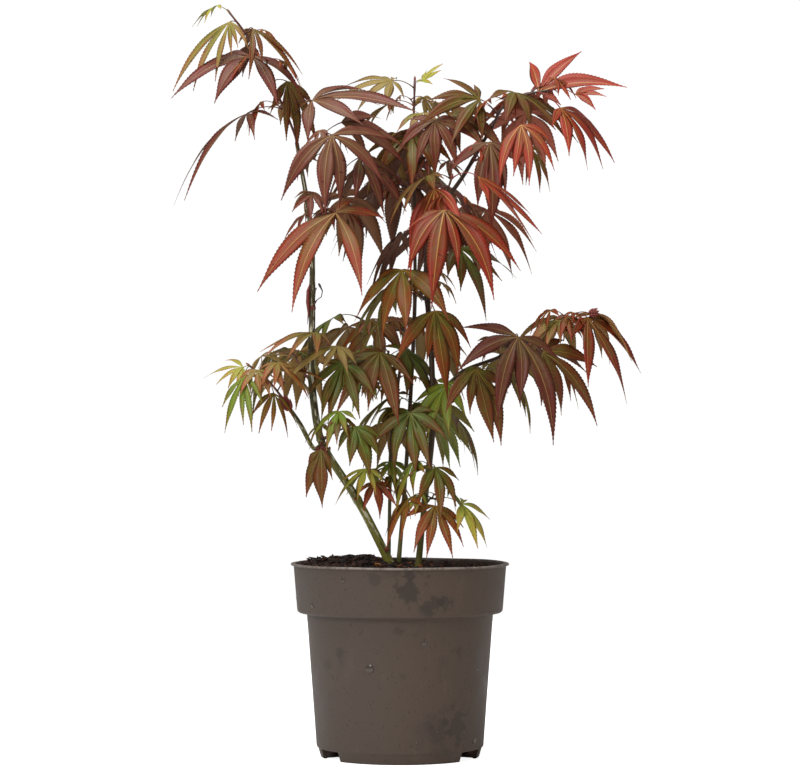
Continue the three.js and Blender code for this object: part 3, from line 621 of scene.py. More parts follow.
def parts_of(tree, vector):
    return node(tree, "SeparateXYZ", {"Vector": vector}).outputs


def group_of(name, inputs, outputs):
    """A shader node group with named inputs (with their defaults) and outputs."""
    tree = bpy.data.node_groups.new(name, "ShaderNodeTree")
    for key, value in inputs.items():
        kind = "NodeSocketVector" if value is None else "NodeSocketFloat"
        socket = tree.interface.new_socket(name=key, in_out="INPUT", socket_type=kind)
        if value is not None:
            socket.default_value = value
    for key in outputs:
        tree.interface.new_socket(name=key, in_out="OUTPUT", socket_type="NodeSocketFloat")
    return tree, node(tree, "NodeGroupInput").outputs, node(tree, "NodeGroupOutput").inputs


def placed(tree, group, **values):
    """A group in a material, with its own values. An underscore in a name stands for a space."""
    feeds = {key.replace("_", " "): value for key, value in values.items()}
    return node(tree, "Group", feeds, node_tree=group).outputs


def edge_for(tree, cover, bare, reach):
    """The value above which a pattern shows: lower, the more it is to cover."""
    return maths(tree, "SUBTRACT", bare, times(tree, cover, reach))


def smudge_group():
    """Soft blotches with a cloudy edge, and fine specks: damp, dust or algae on a surface."""
    inputs = {"Place": None, "Scale": 20.0, "Cover": 0.5, "Speck Scale": 400.0}
    tree, given, out = group_of("smudges", inputs, ("Blotches", "Specks", "Height"))
    warp = noise_of(tree, given["Place"], given["Scale"], 2)
    cloud = noise_of(tree, given["Place"], times(tree, given["Scale"], 2.3), 6, 0.62)
    both = plus(tree, times(tree, warp, 0.65), times(tree, cloud, 0.35))
    edge = edge_for(tree, given["Cover"], 0.72, 0.3)
    link(tree, range_of(tree, both, edge, plus(tree, edge, 0.12)), out["Blotches"])
    specks = noise_of(tree, given["Place"], given["Speck Scale"], 1)
    link(tree, range_of(tree, specks, 0.66, 0.76), out["Specks"])
    link(tree, plus(tree, cloud, times(tree, specks, 0.4)), out["Height"])
    return tree


def bark_group():
    """Streaks and small flecks that run with the grain of a stem."""
    inputs = {"Grain": None, "Streak Cover": 0.4, "Fleck Scale": 520.0}
    tree, given, out = group_of("young_bark", inputs, ("Streaks", "Flecks", "Ridges"))
    fine = noise_of(tree, stretched(tree, given["Grain"], (1, 1, 0.2)), 460, 3, 0.6)
    broad = noise_of(tree, stretched(tree, given["Grain"], (1, 1, 0.12)), 160, 3)
    edge = edge_for(tree, given["Streak Cover"], 0.74, 0.34)
    mask = plus(tree, times(tree, fine, 0.75), times(tree, broad, 0.25))
    link(tree, range_of(tree, mask, edge, plus(tree, edge, 0.05)), out["Streaks"])
    flecks = noise_of(tree, stretched(tree, given["Grain"], (1, 1, 0.35)), given["Fleck Scale"], 1)
    link(tree, range_of(tree, flecks, 0.6, 0.68), out["Flecks"])
    link(tree, plus(tree, fine, times(tree, flecks, 0.5)), out["Ridges"])
    return tree


def stain_group():
    """One soft-edged stain round a centre, broken up by a cloud."""
    inputs = {"Place": None, "Centre": None, "Radius": 0.02, "Cloud Scale": 90.0}
    tree, given, out = group_of("stain", inputs, ("Stain",))
    ends = {0: given["Place"], 1: given["Centre"]}
    away = node(tree, "VectorMath", ends, operation="DISTANCE").outputs["Value"]
    cloud = noise_of(tree, given["Place"], given["Cloud Scale"], 5, 0.6)
    ragged = times(tree, given["Radius"], range_of(tree, cloud, 0.36, 0.62, 0.3, 1.25))
    link(tree, range_of(tree, away, ragged, times(tree, ragged, 0.55)), out["Stain"])
    return tree


SMUDGES = smudge_group()
STAIN = stain_group()
YOUNG_BARK = bark_group()


def patterned(name):
    """A material with its tree, its shader's inputs and the place on the object for its patterns."""
    material = bpy.data.materials.new(name)
    material.use_nodes = True
    tree = material.node_tree
    place = node(tree, "TexCoord").outputs["Object"]
    return material, tree, tree.nodes["Principled BSDF"].inputs, place


def bumped(tree, sockets, height, distance, strength=1.0):
    bump = node(tree, "Bump", dict(Strength=strength, Distance=distance, Height=height))
    link(tree, bump.outputs["Normal"], sockets["Normal"])


def bark_finish(name, low, high, streak, turn_height, streak_cover, roughness):
    """Bark that is one colour near the ground and another above, with streaks along the grain."""
    material, tree, sockets, place = patterned(name)
    grain = node(tree, "Attribute", attribute_name="grain").outputs["Vector"]
    bark = placed(tree, YOUNG_BARK, Grain=grain, Streak_Cover=streak_cover)
    damp = placed(tree, SMUDGES, Place=place, Scale=60.0, Cover=0.5, Speck_Scale=1500.0)
    wander = plus(tree, parts_of(tree, place)["Z"], times(tree, damp["Height"], 0.05))
    height = range_of(tree, wander, turn_height - 0.03, turn_height + 0.08)
    colour = mixed(tree, height, linear(low), linear(high))
    shade = mixed(tree, damp["Blotches"], colour, linear("2c2416"))
    colour = mixed(tree, times(tree, damp["Blotches"], 0.35), colour, shade)
    colour = laid_over(tree, colour, bark["Streaks"], 0.7, streak)
    colour = laid_over(tree, colour, bark["Flecks"], 0.6, "3c2c18")
    link(tree, colour, sockets["Base Color"])
    link(tree, plus(tree, roughness, times(tree, bark["Streaks"], 0.25)), sockets["Roughness"])
    sockets["Specular IOR Level"].default_value = 0.3
    bumped(tree, sockets, bark["Ridges"], 0.0002)
    return material


STAINS = (
    (9, 151, 18, 0.6), (27, 137, 12, 0.5), (38, 136, 9, 0.45), (-22, 159, 8, 0.35), (48, 33, 20, 0.45),
    (34, 28, 14, 0.3), (-48, 156, 4, 0.8), (50, 94, 8, 0.3), (-51, 94, 6, 0.3), (-1, 113, 6, 0.3),
    (-62, 82, 7, 0.25), (2, 76, 6, 0.25),
)  # x, height, size, depth


def on_wall(x, height):
    """A place on the front of the pot."""
    radius = wall_radius(height)
    return AXIS + np.array([x, -math.sqrt(radius**2 - x * x), height]) * MM


def plastic_finish():
    """Matt recycled plastic, paler where its lip rubs, with damp smudges, stains and dust, and painted
    shade on its right side.
    """
    material, tree, sockets, place = patterned("pot_plastic")
    damp = placed(tree, SMUDGES, Place=place, Scale=24.0, Cover=0.52, Speck_Scale=520.0)
    split = parts_of(tree, place)
    downward = stretched(tree, place, (1, 1, 0.3))
    dust = placed(tree, SMUDGES, Place=downward, Scale=70.0, Cover=0.5, Speck_Scale=1800.0)
    # Painted shade: the plastic turns a little darker and warmer towards the right, the side away from the
    # key light.
    side = range_of(tree, split["X"], -0.07, 0.08)
    colour = mixed(tree, side, linear("50443c"), linear("4f3f34"))
    colour = laid_over(tree, colour, damp["Blotches"], 0.45, "352b26")
    colour = laid_over(tree, colour, dust["Blotches"], 0.25, "665a50")
    for x, height, size, depth in STAINS:
        centre = node(tree, "CombineXYZ", enumerate(on_wall(x, height))).outputs["Vector"]
        stain = placed(tree, STAIN, Place=place, Centre=centre, Radius=size * MM)["Stain"]
        colour = laid_over(tree, colour, stain, depth, "2a221e")
    colour = laid_over(tree, colour, damp["Specks"], 0.6, "241c18")
    lip = range_of(tree, split["Z"], (POT_HEIGHT - 3) * MM, (POT_HEIGHT - 0.5) * MM)
    worn = times(tree, lip, range_of(tree, dust["Height"], 0.55, 0.8, 0.25, 0.95))
    link(tree, mixed(tree, worn, colour, linear("8a8078")), sockets["Base Color"])
    rough = maths(tree, "SUBTRACT", 0.5, times(tree, damp["Blotches"], 0.14))
    link(tree, plus(tree, rough, times(tree, dust["Blotches"], 0.1)), sockets["Roughness"])
    sockets["Specular IOR Level"].default_value = 0.3
    bumped(tree, sockets, plus(tree, dust["Height"], dust["Specks"]), 0.00012, 0.5)
    return material


def compost_finish():
    """Damp peat and bark compost."""
    material, tree, sockets, place = patterned("damp_compost")
    crumb = placed(tree, SMUDGES, Place=place, Scale=110.0, Cover=0.9, Speck_Scale=900.0)
    colour = mixed(tree, crumb["Blotches"], linear("1c120e"), linear("38241b"))
    link(tree, laid_over(tree, colour, crumb["Specks"], 0.5, "6b4a33"), sockets["Base Color"])
    sockets["Roughness"].default_value = 0.85
    bumped(tree, sockets, crumb["Height"], 0.0012)
    return material


# Each tone: the leaf's colour at its hub, in its lobes' middle, at their tips, along their ribs, on their
# underside, and the stalk's colour.
TONES = {
    "purple": "6a452c 6c3c2c 6e2c24 9a7c44 86624e 54241c",
    "dusk": "5a4222 5a2c1c 5c2117 94703a 664230 4a2016",
    "maroon": "644222 683022 722a1c 987438 7c5438 54241a",
    "umber": "5c5620 643e18 703218 947a30 7c6234 583018",
    "rust": "7a5426 863b20 943222 b48a3e 926c40 642c1c",
    "scarlet": "864c26 943524 a23825 cc9a40 a8604c 882c20",
    "crimson": "6c4420 802c18 902a1a c0923c 925238 70261a",
    "copper": "645e22 764416 863616 a6842e 886836 643018",
    "amber": "7e7a34 8e6636 985230 b49c4a a2864c 80502c",
    "olive": "526422 584c16 6c3a16 8e8830 7a6e34 543e1a",
    "green": "667e26 6c6e20 84501c a0a83c 8c9048 68682a",
    "khaki": "867438 8c763c 806034 a08e4a 927e48 6a4c26",
    "lime": "98a23a a29a3c a67632 b8b650 a8a45c 868434",
}
RAMP = 6  # tints from a leaf's hub to its tips
RIB, UNDERSIDE, STALK, BLEMISH = RAMP, RAMP + 1, RAMP + 2, RAMP + 3
LEAF_TINTS = RAMP + 4


def leaf_finishes():
    """All the leaves' plain colours, LEAF_TINTS for each tone, in the order of TONES."""
    made = []
    for name, codes in TONES.items():
        hub, middle, tip, rib, under, stalk = (linear(code) for code in codes.split())
        for i in range(RAMP):
            t = i / (RAMP - 1)
            colour = blend_colours(hub, middle, t * 2) if t < 0.5 else blend_colours(middle, tip, t * 2 - 1)
            made.append(plain_finish(f"{name}_blade_{i}", colour, 0.42, Specular_IOR_Level=0.25))
        made.append(plain_finish(f"{name}_rib", blend_colours(middle, rib, 0.85), 0.5))
        made.append(plain_finish(f"{name}_underside", under, 0.62, Specular_IOR_Level=0.2))
        made.append(plain_finish(f"{name}_stalk", stalk, 0.5))
        dark = blend_colours(tip, linear("2a120a"), 0.62)
        made.append(plain_finish(f"{name}_blemish", dark, 0.5, Specular_IOR_Level=0.25))
    return made


LEAF_FINISHES = leaf_finishes()
TONE_START = {name: i * LEAF_TINTS for i, name in enumerate(TONES)}


# ---------------------------------------------------------------- leaves
# A lobe is a thin closed skin. Its ten lines run from hub to tip: left margin, left half, the rib's three,
# right half, right margin, and three on the underside.
LINE_PLACE = np.array([1, 0.52, 0, 0, 0, -0.52, -1, -0.5, 0, 0.5])
LINE_RIB = np.array([0, 0, 1, 0, -1, 0, 0, 0, 0, 0])
LINE_BACK = np.array([0, 1.2, 3, 3.4, 3, 1.2, 0, 0.6, 1.5, 0.6])  # how far a line lags behind the margin
LINE_BELOW = np.array([0, 0, 0, 0, 0, 0, 0, 0.24, 0.36, 0.24])
LINE_CREST = np.array([0, 0, 0, 0.22, 0, 0, 0, 0, 0, 0])
LINE_PLEAT = np.array([0.2, 1, 0, 0, 0, 1, 0.2, 1, 0, 1])
STRIP_EDGE = np.array([0.13, 0, 0, 0, 0, 0.13, 0, 0, 0, 0])  # nearer the tip's colour at the margins
TOOTH_PITCH = 2.6  # millimetres
TOOTH_DEPTH = 0.011  # of the lobe's length
LOBE_WIDTH = 0.104  # of its length, from rib to margin
PLEAT_DEPTH = 0.011  # of the width from rib to margin
LOBE_WIDEST = 0.45  # how far along
PALM_SPREAD = 0.34  # slope of the lines on which neighbouring lobes meet
RIB_WIDTH = 0.005  # of the lobe's length
LOBE_STRAY, SHARE_STRAY = 8, 0.13  # how far a lobe strays from the rule's angle and length
WIDTHS, SAGS, FOLDS, WAVES = (0.82, 1.1), (0.75, 1.2), (0.0, 0.5), (0.04, 0.14)  # from lobe to lobe
BEND, TWIST, RIPER = 0.11, 0.6, 0.16  # the most to either side
FEWEST_TEETH, MOST_TEETH = 6, 30
THIN = 0.3  # least half width of a lobe, in millimetres
BLEMISHES = 0.005  # share of a blade
FULLER = 1.06  # a leaf's size, of the solid's


def lobe_width(s):
    """Half a lobe's width, as a share of its greatest: lanceolate, with a long drawn tip."""
    rising = 0.1 + 0.9 * np.sin(np.clip(s / LOBE_WIDEST, 0, 1) * math.pi / 2) ** 1.5
    falling = (0.5 + 0.5 * np.cos(np.clip((s - LOBE_WIDEST) / (1 - LOBE_WIDEST), 0, 1) * math.pi)) ** 0.8
    return np.where(s < LOBE_WIDEST, rising, falling)


def lobe_way(held, degrees):
    """A lobe's direction at the hub, and the direction in which gravity bends it."""
    turn = math.radians(degrees)
    side = np.cross(held["up"], held["out"])
    way = held["out"] * math.cos(turn) + side * math.sin(turn)
    return way, -UP + way * way[2]


def rolled(a, b, angle):
    """Two directions square to each other, both turned by an angle in their plane."""
    return a * np.cos(angle) + b * np.sin(angle), b * np.cos(angle) - a * np.sin(angle)


def add_lobe(shape, held, degrees, share, tone, draw):
    """A toothed, pleated lobe with its rib, which sags, bends and twists towards its tip."""
    size = held["length"] * share
    way, pull = lobe_way(held, degrees)
    teeth = int(np.clip(size / TOOTH_PITCH, FEWEST_TEETH, MOST_TEETH))
    step = np.arange(2 * teeth + 1)
    along = step / (2 * teeth)
    tooth = np.where(step % 2, 1.0, -1.0)
    toothed = ease((along - 0.16) / 0.12) * (1 - along) ** 0.4
    broad = LOBE_WIDTH * held["length"] * share**0.7 * spread(draw, *WIDTHS) * held["slim"]
    half = np.minimum(broad * lobe_width(along), PALM_SPREAD * size * along) + THIN
    sag = SAG * spread(draw, *SAGS) * held["sag"]
    edge = half + tooth * toothed * TOOTH_DEPTH * size * 0.5

    lag = LINE_BACK[None, :] * (0.008 * toothed + 0.002 * along)[:, None]
    ahead = np.abs(LINE_PLACE)[None, :] ** 4 * (tooth * toothed * 0.3 / (2 * teeth))[:, None]
    s = np.clip(along[:, None] - lag + ahead, 0, 1)[..., None]
    bend = spread(draw, -BEND, BEND)
    rib = held["hub"] + way * size * s + pull * (size * sag / 2) * s**2
    ways = unit(way + pull * sag * s)
    normal = unit(held["up"] - ways * (ways @ held["up"])[..., None])
    across, normal = rolled(np.cross(normal, ways), normal, spread(draw, -TWIST, TWIST) * s**1.5)

    fold, wave, phase = spread(draw, *FOLDS), spread(draw, *WAVES), draw() * TAU
    width = np.where(np.abs(LINE_PLACE) == 1, edge[:, None], half[:, None])
    rib_half = np.maximum(RIB_WIDTH * size * (1 - 0.75 * along), 0.1)[:, None]
    sideways = LINE_PLACE * width + LINE_RIB * np.minimum(rib_half, 0.4 * half[:, None])
    ripple = np.sin(along * 9 + phase)[:, None] * np.sign(LINE_PLACE) * LINE_PLACE**2
    lift = np.abs(LINE_PLACE) * width * fold + ripple * width * wave
    lift = lift - LINE_PLEAT * (tooth * toothed)[:, None] * PLEAT_DEPTH * half[:, None]
    lift = lift + (LINE_CREST - LINE_BELOW) * (1 - 0.7 * along)[:, None]
    curl = across * (bend * size * s**2)
    rings = rib + curl + across * sideways[..., None] + normal * lift[..., None]
    shape.skin(rings, lobe_tints(along, tone, held["ripe"], draw))


def lobe_tints(along, tone, ripe, draw):
    """The finish of each strip: a blotched ramp from hub to tip, riper at the margins, rib and back."""
    s = ((along[:-1] + along[1:]) / 2)[:, None]
    strips = np.arange(len(LINE_PLACE))
    blotch = np.sin(s * spread(draw, 5, 11) + draw() * TAU + strips * spread(draw, 0.2, 0.7))
    fleck = np.sin(s * spread(draw, 40, 60) + draw() * TAU + strips * 2.4)
    fleck = fleck * np.sin(s * 23 + strips * draw() * 5)
    ripeness = 0.1 + 0.72 * s + STRIP_EDGE + 0.14 * blotch + 0.12 * fleck + ripe
    tints = np.clip((ripeness * RAMP).astype(int), 0, RAMP - 1)
    blemish = np.array([[draw() for _ in strips] for _ in range(len(s))]) < BLEMISHES
    tints = np.where(blemish, BLEMISH, tints)
    tints[:, 2:4] = np.where(s < 0.86, RIB, tints[:, 2:4])
    tints[:, 6:] = UNDERSIDE
    return tints + TONE_START[tone]


def add_stalk(shape, held, tone):
    """A thin stalk from the twig's node through its bend to the hub, thicker at both ends."""
    node_end, hub = held["node"], held["hub"]
    t = STALK_BEND
    control = (held["bend"] - (1 - t) ** 2 * node_end - t * t * hub) / (2 * t * (1 - t))
    places = np.linspace(0, 1, 9)[:, None]
    line = (1 - places) ** 2 * node_end + 2 * places * (1 - places) * control + places**2 * hub
    radii = STALK_RADIUS * np.array([1.9, 1.25, 0.95, 0.85, 0.8, 0.8, 0.85, 1.0, 1.15])
    shape.skin(tube(line, radii * min(1, 0.6 + held["length"] / 150), 7), TONE_START[tone] + STALK)


def hold(node_point, row, chance, aside):
    """Where a leaf sits and how it is turned, from its row, four numbers and its turn aside."""
    turn = math.radians(row["turn"] + JITTER_TURN * (2 * chance[0] - 1) + aside[0])
    droop = math.radians(row["droop"] + JITTER_DROOP * (2 * chance[1] - 1) + aside[1])
    roll = math.radians(row["roll"] + JITTER_ROLL * (2 * chance[2] - 1))
    length = row["size"] * (1 + JITTER_SIZE * (2 * chance[3] - 1))
    level = from_angle(turn)
    reach = length * row["stalk"]
    hub = node_point + level * reach + UP * reach * row["rise"]
    bend = node_point + (hub - node_point) * STALK_BEND + UP * reach * STALK_LIFT * STALK_BEND
    out = level * math.cos(droop) - UP * math.sin(droop)
    up = level * math.sin(droop) + UP * math.cos(droop)
    up = up * math.cos(roll) + np.cross(out, up) * math.sin(roll)
    look = dict(slim=row["slim"], sag=row["sag"])
    return dict(node=node_point, bend=bend, hub=hub, out=out, up=up, length=length, **look)


def lobes_of(length):
    return LOBES_OF_SEVEN if length >= FULL_SIZE else LOBES_OF_FIVE


def strayed(lobes, draw):
    """The rule's lobes as a real leaf has them, no two quite alike."""
    made = []
    for degrees, share in lobes:
        aside = spread(draw, -LOBE_STRAY, LOBE_STRAY)
        made.append((degrees + aside, share * (1 + spread(draw, -SHARE_STRAY, SHARE_STRAY / 3))))
    return made


def swung(held, degrees):
    """The leaf with its blade twisted about its middle lobe."""
    turn = math.radians(degrees)
    up = held["up"] * math.cos(turn) + np.cross(held["out"], held["up"]) * math.sin(turn)
    return {**held, "up": up}


def lobe_ends(held):
    """Where the solid's lobes end."""
    for degrees, share in lobes_of(held["length"]):
        way, pull = lobe_way(held, degrees)
        yield held["hub"] + (way + pull * SAG / 2) * held["length"] * share


def corners_of(name):
    """A tree of a solid's corners, in millimetres round the pot's axis, for finding its leaves' tips."""
    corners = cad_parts[name].data.vertices
    tree = KDTree(len(corners))
    for i, corner in enumerate(corners):
        tree.insert((np.array(corner.co) - AXIS) / MM, i)
    tree.balance()
    return tree


HELD_WITHIN, FARTHEST = 2.5, 12  # mean miss of the lobes' ends, and the most that one counts for


def held_as_solid(node_point, row, chance, corners):
    """The leaf in the turn aside in which the solid holds it, or None where the solid has none."""
    best, least = None, HELD_WITHIN
    for aside in ASIDE:
        held = hold(node_point, row, chance, aside)
        miss = np.mean([min(corners.find(end)[2], FARTHEST) for end in lobe_ends(held)])
        if miss < least:
            best, least = held, miss
    return best


def add_leaf(shape, stalks, held, tone, draw, lobes=None):
    held["ripe"] = spread(draw, -RIPER, RIPER)
    held["length"] *= FULLER
    add_stalk(stalks, held, tone)
    for degrees, share in lobes or strayed(lobes_of(held["length"]), draw):
        add_lobe(shape, held, degrees, share, tone, draw)


# ---------------------------------------------------------------- shoots
TWIG_STEPS, TWIG_SIDES = 18, 9
BUD_LENGTH, BUD_RADIUS = 4.2, 1.05
BARK_BROWN, BARK_RED, BARK_GREEN, BUD = 0, 1, 2, 3  # the twigs' finishes
SIDE_TWIGS = 3  # of a shoot
SIDE_TWIG_REACH = 15
SIDE_LEAF = (19, 30)  # shortest and longest middle lobe of a young leaf
GOLDEN_TURN = 137.5


def twig_finishes():
    looks = (("twig_brown", "41302a", 0.5), ("twig_red", "5c2f27", 0.45), ("twig_green", "5f6130", 0.45),
             ("bud_scales", "7a2f26", 0.5))
    return [plain_finish(name, linear(code), roughness) for name, code, roughness in looks]


def add_bud(shape, place, way, length, radius, tint=BUD):
    """A pointed bud of overlapping scales."""
    share = np.array([0, 0.06, 0.2, 0.24, 0.42, 0.46, 0.66, 0.7, 0.88, 1.0])
    girth = np.array([0.55, 0.8, 1.0, 0.9, 1.0, 0.86, 0.8, 0.66, 0.36, 0.06])
    line = place + unit(way) * length * share[:, None]
    shape.skin(tube(line, radius * girth, 8), tint)


def swollen(places, nodes, width, size):
    """How much thicker a stem is at each place along it, for its nodes."""
    return sum(size * np.exp(-(((places - n) / width) ** 2)) for n in nodes)


def add_twig(shape, curve, sunk, nodes, tint):
    """A twig with a ring at each of its nodes, from inside its limb to its tip."""
    line = np.vstack([sunk, curve.along(TWIG_STEPS)])
    places = np.linspace(0, 1, TWIG_STEPS + 1)
    girth = np.interp(places, (0, 1), TWIG_RADII)
    girth = girth * (1 + swollen(places, nodes, 0.035, 0.4) + 0.5 * np.exp(-places / 0.03))
    shape.skin(tube(line, np.concatenate([girth[:1], girth]), TWIG_SIDES), tint)


def add_side_twig(shape, leaves, stalks, start, turn, low, high, tone, draw):
    """A short side twig with two young leaves and a bud, kept inside the box of its mass."""
    tip = start + from_angle(turn) * SIDE_TWIG_REACH * spread(draw, 0.6, 1.2) + UP * spread(draw, 2, 9)
    middle = (start + tip) / 2 + UP * 1.5
    rows = []
    for away in (-75, 70):
        size = spread(draw, *SIDE_LEAF)
        aim = math.degrees(turn) + away + spread(draw, -15, 15)
        rows.append(leaf(1, size, aim, spread(draw, 20, 50), rise=spread(draw, 0, 0.5), stalk=0.45))
    chance = [0.5, 0.5, draw(), 0.5]
    held = [hold(tip, row, chance, (0, 0)) for row in rows]
    ends = np.array([end for one in held for end in lobe_ends(one)])
    if (ends < low).any() or (ends > high).any():
        return
    shape.skin(tube([start, middle, tip], [0.75, 0.65, 0.6], 7), BARK_RED)
    add_bud(shape, tip, tip - middle, 2.6, 0.7)
    for one in held:
        add_leaf(leaves, stalks, one, tone, draw)


def both_of(row):
    """The row, and for a pair its opposite too, which has the usual lobes."""
    return [row, {**row, "turn": row["turn"] + 180, "lobes": None}] if row["pair"] else [row]


def grow_shoot(name, spec, seed, twigs, stalks):
    """A shoot's twig, its leaves where its solid holds them, and its side twigs. Gives the leaves."""
    mass = "foliage_" + name
    curve, sunk = curve_from(spec["limb"], spec["height"], spec["route"])
    chance, draw = seeded(seed), seeded(1000 + seed)
    rows = [turned_row for row in spec["leaves"] for turned_row in both_of(row)]
    corners = corners_of(mass)
    leaves = Shape()
    for row in rows:
        numbers = [chance(), chance(), chance(), chance()]
        held = held_as_solid(curve.at(row["at"] * LAST_LEAF), row, numbers, corners)
        if held is not None:
            tone = row["tone"] or spec["tone"]
            add_leaf(leaves, stalks, swung(held, row["swing"]), tone, draw, row["lobes"])
    nodes = sorted({row["at"] * LAST_LEAF for row in rows})
    tint = BARK_GREEN if spec["tone"] in ("green", "lime") else BARK_RED if seed % 3 else BARK_BROWN
    add_twig(twigs, curve, sunk, nodes, tint)
    add_bud(twigs, curve.at(1), curve.at(1) - curve.at(0.97), BUD_LENGTH, BUD_RADIUS)
    low, high = ((np.array(corner) - AXIS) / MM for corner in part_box(mass))
    for i in range(SIDE_TWIGS):
        start = curve.at(0.3 + 0.6 * (i + 0.5) / SIDE_TWIGS)
        turn = math.radians(GOLDEN_TURN * (i + seed))
        add_side_twig(twigs, leaves, stalks, start, turn, low, high, spec["tone"], draw)
    return leaves


SLOT_TONES = {
    "purple_leaf": ("purple", "dusk", "maroon"),
    "red_leaf": ("scarlet", "crimson"),
    "bronze_leaf": ("umber", "rust", "copper", "amber"),
    "green_leaf": ("olive", "green", "khaki", "lime"),
}
SLOT_OF_TONE = {tone: slot for slot, tones in SLOT_TONES.items() for tone in tones}


def grow_foliage():
    twigs, stalks = Shape(), Shape()
    for i, (name, spec) in enumerate(SHOOTS.items()):
        leaves = grow_shoot(name, spec, i + 1, twigs, stalks)
        leaves.piece("leaves_" + name, LEAF_FINISHES, SLOT_OF_TONE[spec["tone"]], ["foliage_" + name])
    masses = ["foliage_" + name for name in SHOOTS]
    twigs.piece("twigs", twig_finishes(), "brown_bark", masses)
    stalks.piece("leaf_stalks", LEAF_FINISHES, "bronze_leaf", masses)


# ---------------------------------------------------------------- stems and boughs
LIMB_SIDES = 30
RING_STEP = 1.5  # between a limb's rings
INTERNODE = 58
NODE_SWELLING, NODE_WIDTH = 0.2, 3.2
RIDGE = 0.035  # of the radius
SLENDER = ((0.2, 0.6), (0.76, 1.0))  # places along a limb, and the bark's radius there of the solid's
GREEN_LIMBS = ("stem_left", "bough_left")


def leaving_heights(name):
    """The heights at which boughs and shoots leave a limb."""
    specs = [*LIMBS.values(), *SHOOTS.values()]
    return [spec["height"] for spec in specs if spec.get("limb") == name and spec.get("height")]


def add_limb(name, slot, bark, buds, draw):
    """A tapering limb with ridges along its grain, and swollen, scarred nodes with their buds."""
    limb = limbs[name]
    rough = limb["curve"].along(200)
    length = np.linalg.norm(np.diff(rough, axis=0), axis=1).sum()
    steps = int(length / RING_STEP)
    places = np.linspace(0, 1, steps + 1)
    line = limb["curve"].along(steps)
    nodes = [places[np.argmin(abs(line[:, 2] - height))] for height in leaving_heights(name)]
    extra = np.arange(INTERNODE, length - 20, INTERNODE) / length
    nodes += [place for place in extra if all(abs(place - n) * length > 22 for n in nodes)]
    width = NODE_WIDTH / length
    girth = np.interp(places, *SLENDER) * np.array([limb["radius_at"](t) for t in places])
    girth = girth * (1 + swollen(places, nodes, width, NODE_SWELLING))
    girth = girth * (1 + swollen(places, [n + 1.6 * width for n in nodes], 0.9 / length, 0.07))
    angle = np.arange(LIMB_SIDES) * TAU / LIMB_SIDES
    turns = np.array([spread(draw, 0, TAU) for _ in range(3)])
    relief = sum(
        np.sin(count * angle + turns[k] + 5 * np.sin(places * length / (40 + 30 * k))[:, None] * 0.2)
        for k, count in enumerate((3, 5, 9))
    )
    radii = girth[:, None] * (1 + RIDGE * relief / 1.5)
    root = line[0] - UP * 3 if limb["sunk"] is None else limb["sunk"]
    line, radii = np.vstack([root, line]), np.vstack([radii[:1], radii])
    grain = np.empty((len(line), LIMB_SIDES, 3))
    grain[..., :2] = np.stack([np.cos(angle), np.sin(angle)], axis=-1) * girth.mean()
    grain[..., 2] = (np.concatenate([[0], places]) * length)[:, None]
    shape = Shape()
    shape.skin(tube(line, radii, LIMB_SIDES), 0, grain * MM)
    shape.piece(name + "_bark", [bark], slot, [name])
    for n in nodes:
        add_node_buds(buds, limb, n, draw)


def add_node_buds(buds, limb, place, draw):
    """Two opposite buds in the axils of a node."""
    point, radius = limb["curve"].at(place), limb["radius_at"](place)
    way = unit(limb["curve"].at(min(place + 0.01, 1)) - limb["curve"].at(max(place - 0.01, 0)))
    turn = spread(draw, 0, TAU)
    across = unit(np.cross(way, from_angle(turn) + UP * 0.2))
    for side in (1, -1):
        foot = point + across * side * radius * 0.8
        add_bud(buds, foot, way + across * side * 0.75, spread(draw, 2.6, 4.4), 0.55 + 0.13 * radius)


def scale_cluster(buds, foot, way, radius, length):
    """The ring of red scales that stays where a bud opened."""
    side = unit(np.cross(way, [0.3, -1, 0.2]))
    for ring, (count, rise, lean) in enumerate(((6, 0, 0.5), (5, 0.22, 0.34), (4, 0.42, 0.18))):
        for i in range(count):
            turn = TAU * (i + 0.5 * ring) / count
            out = side * math.cos(turn) + np.cross(way, side) * math.sin(turn)
            start = foot + way * length * rise + out * radius * 0.55
            add_bud(buds, start, way + out * lean, length * 0.55, radius * 0.42)


FORK, STEM_FOOT, KNOT = 0.3, 0.045, 0.71  # how far along the left stem


def add_scars(buds):
    """The scales round the left bough's tip, its fork, the stem's foot and the right tip's curled
    bud, and the dry remains of an old side shoot."""
    tip, stem = limbs["bough_left"]["curve"], limbs["stem_left"]["curve"]
    knot, rise = stem.at(KNOT), unit(stem.at(0.75) - stem.at(KNOT))
    clusters = (
        (tip.at(0.86), tip.at(1) - tip.at(0.9), 3.3, 15),
        (stem.at(FORK) + (-2, -5, -3), (-0.5, -0.4, 0.8), 4.6, 9),
        (stem.at(STEM_FOOT) + (2, -4, 0), (0.4, -0.5, 0.8), 1.5, 4),
        (SHOOTS["right_tip"]["route"][-1] + np.array([13, -8, 0]), (0.8, -0.3, 0.3), 2.8, 9),
        (knot - rise * 3, rise, 2.6, 7),
    )
    for foot, way, radius, length in clusters:
        scale_cluster(buds, foot, unit(np.array(way)), radius, length)
    hook = knot + np.array([[1, -2, 0], [4, -3, 6], [8, -3, 9], [9, -3, 14], [7, -3, 18]])
    buds.skin(tube(hook, [0.6, 0.45, 0.4, 0.5, 0.9], 7), BARK_BROWN)
    add_bud(buds, hook[-1], hook[-1] - hook[-2], 3.4, 1.1, BARK_BROWN)
    stub = knot + np.array([[1, -2, 1], [3, -3, 5], [5, -3, 7]])
    buds.skin(tube(stub, [0.6, 0.5, 0.3], 7), BARK_RED)
    sheath = knot + np.array([[-2, -2, 20], [-3.4, -3, 14], [-3.6, -3, 4], [-3, -3, -5], [-4, -3, -15]])
    buds.skin(tube(sheath, [0.4, 1.5, 1.7, 0.9, 0.12], 8), BUD)


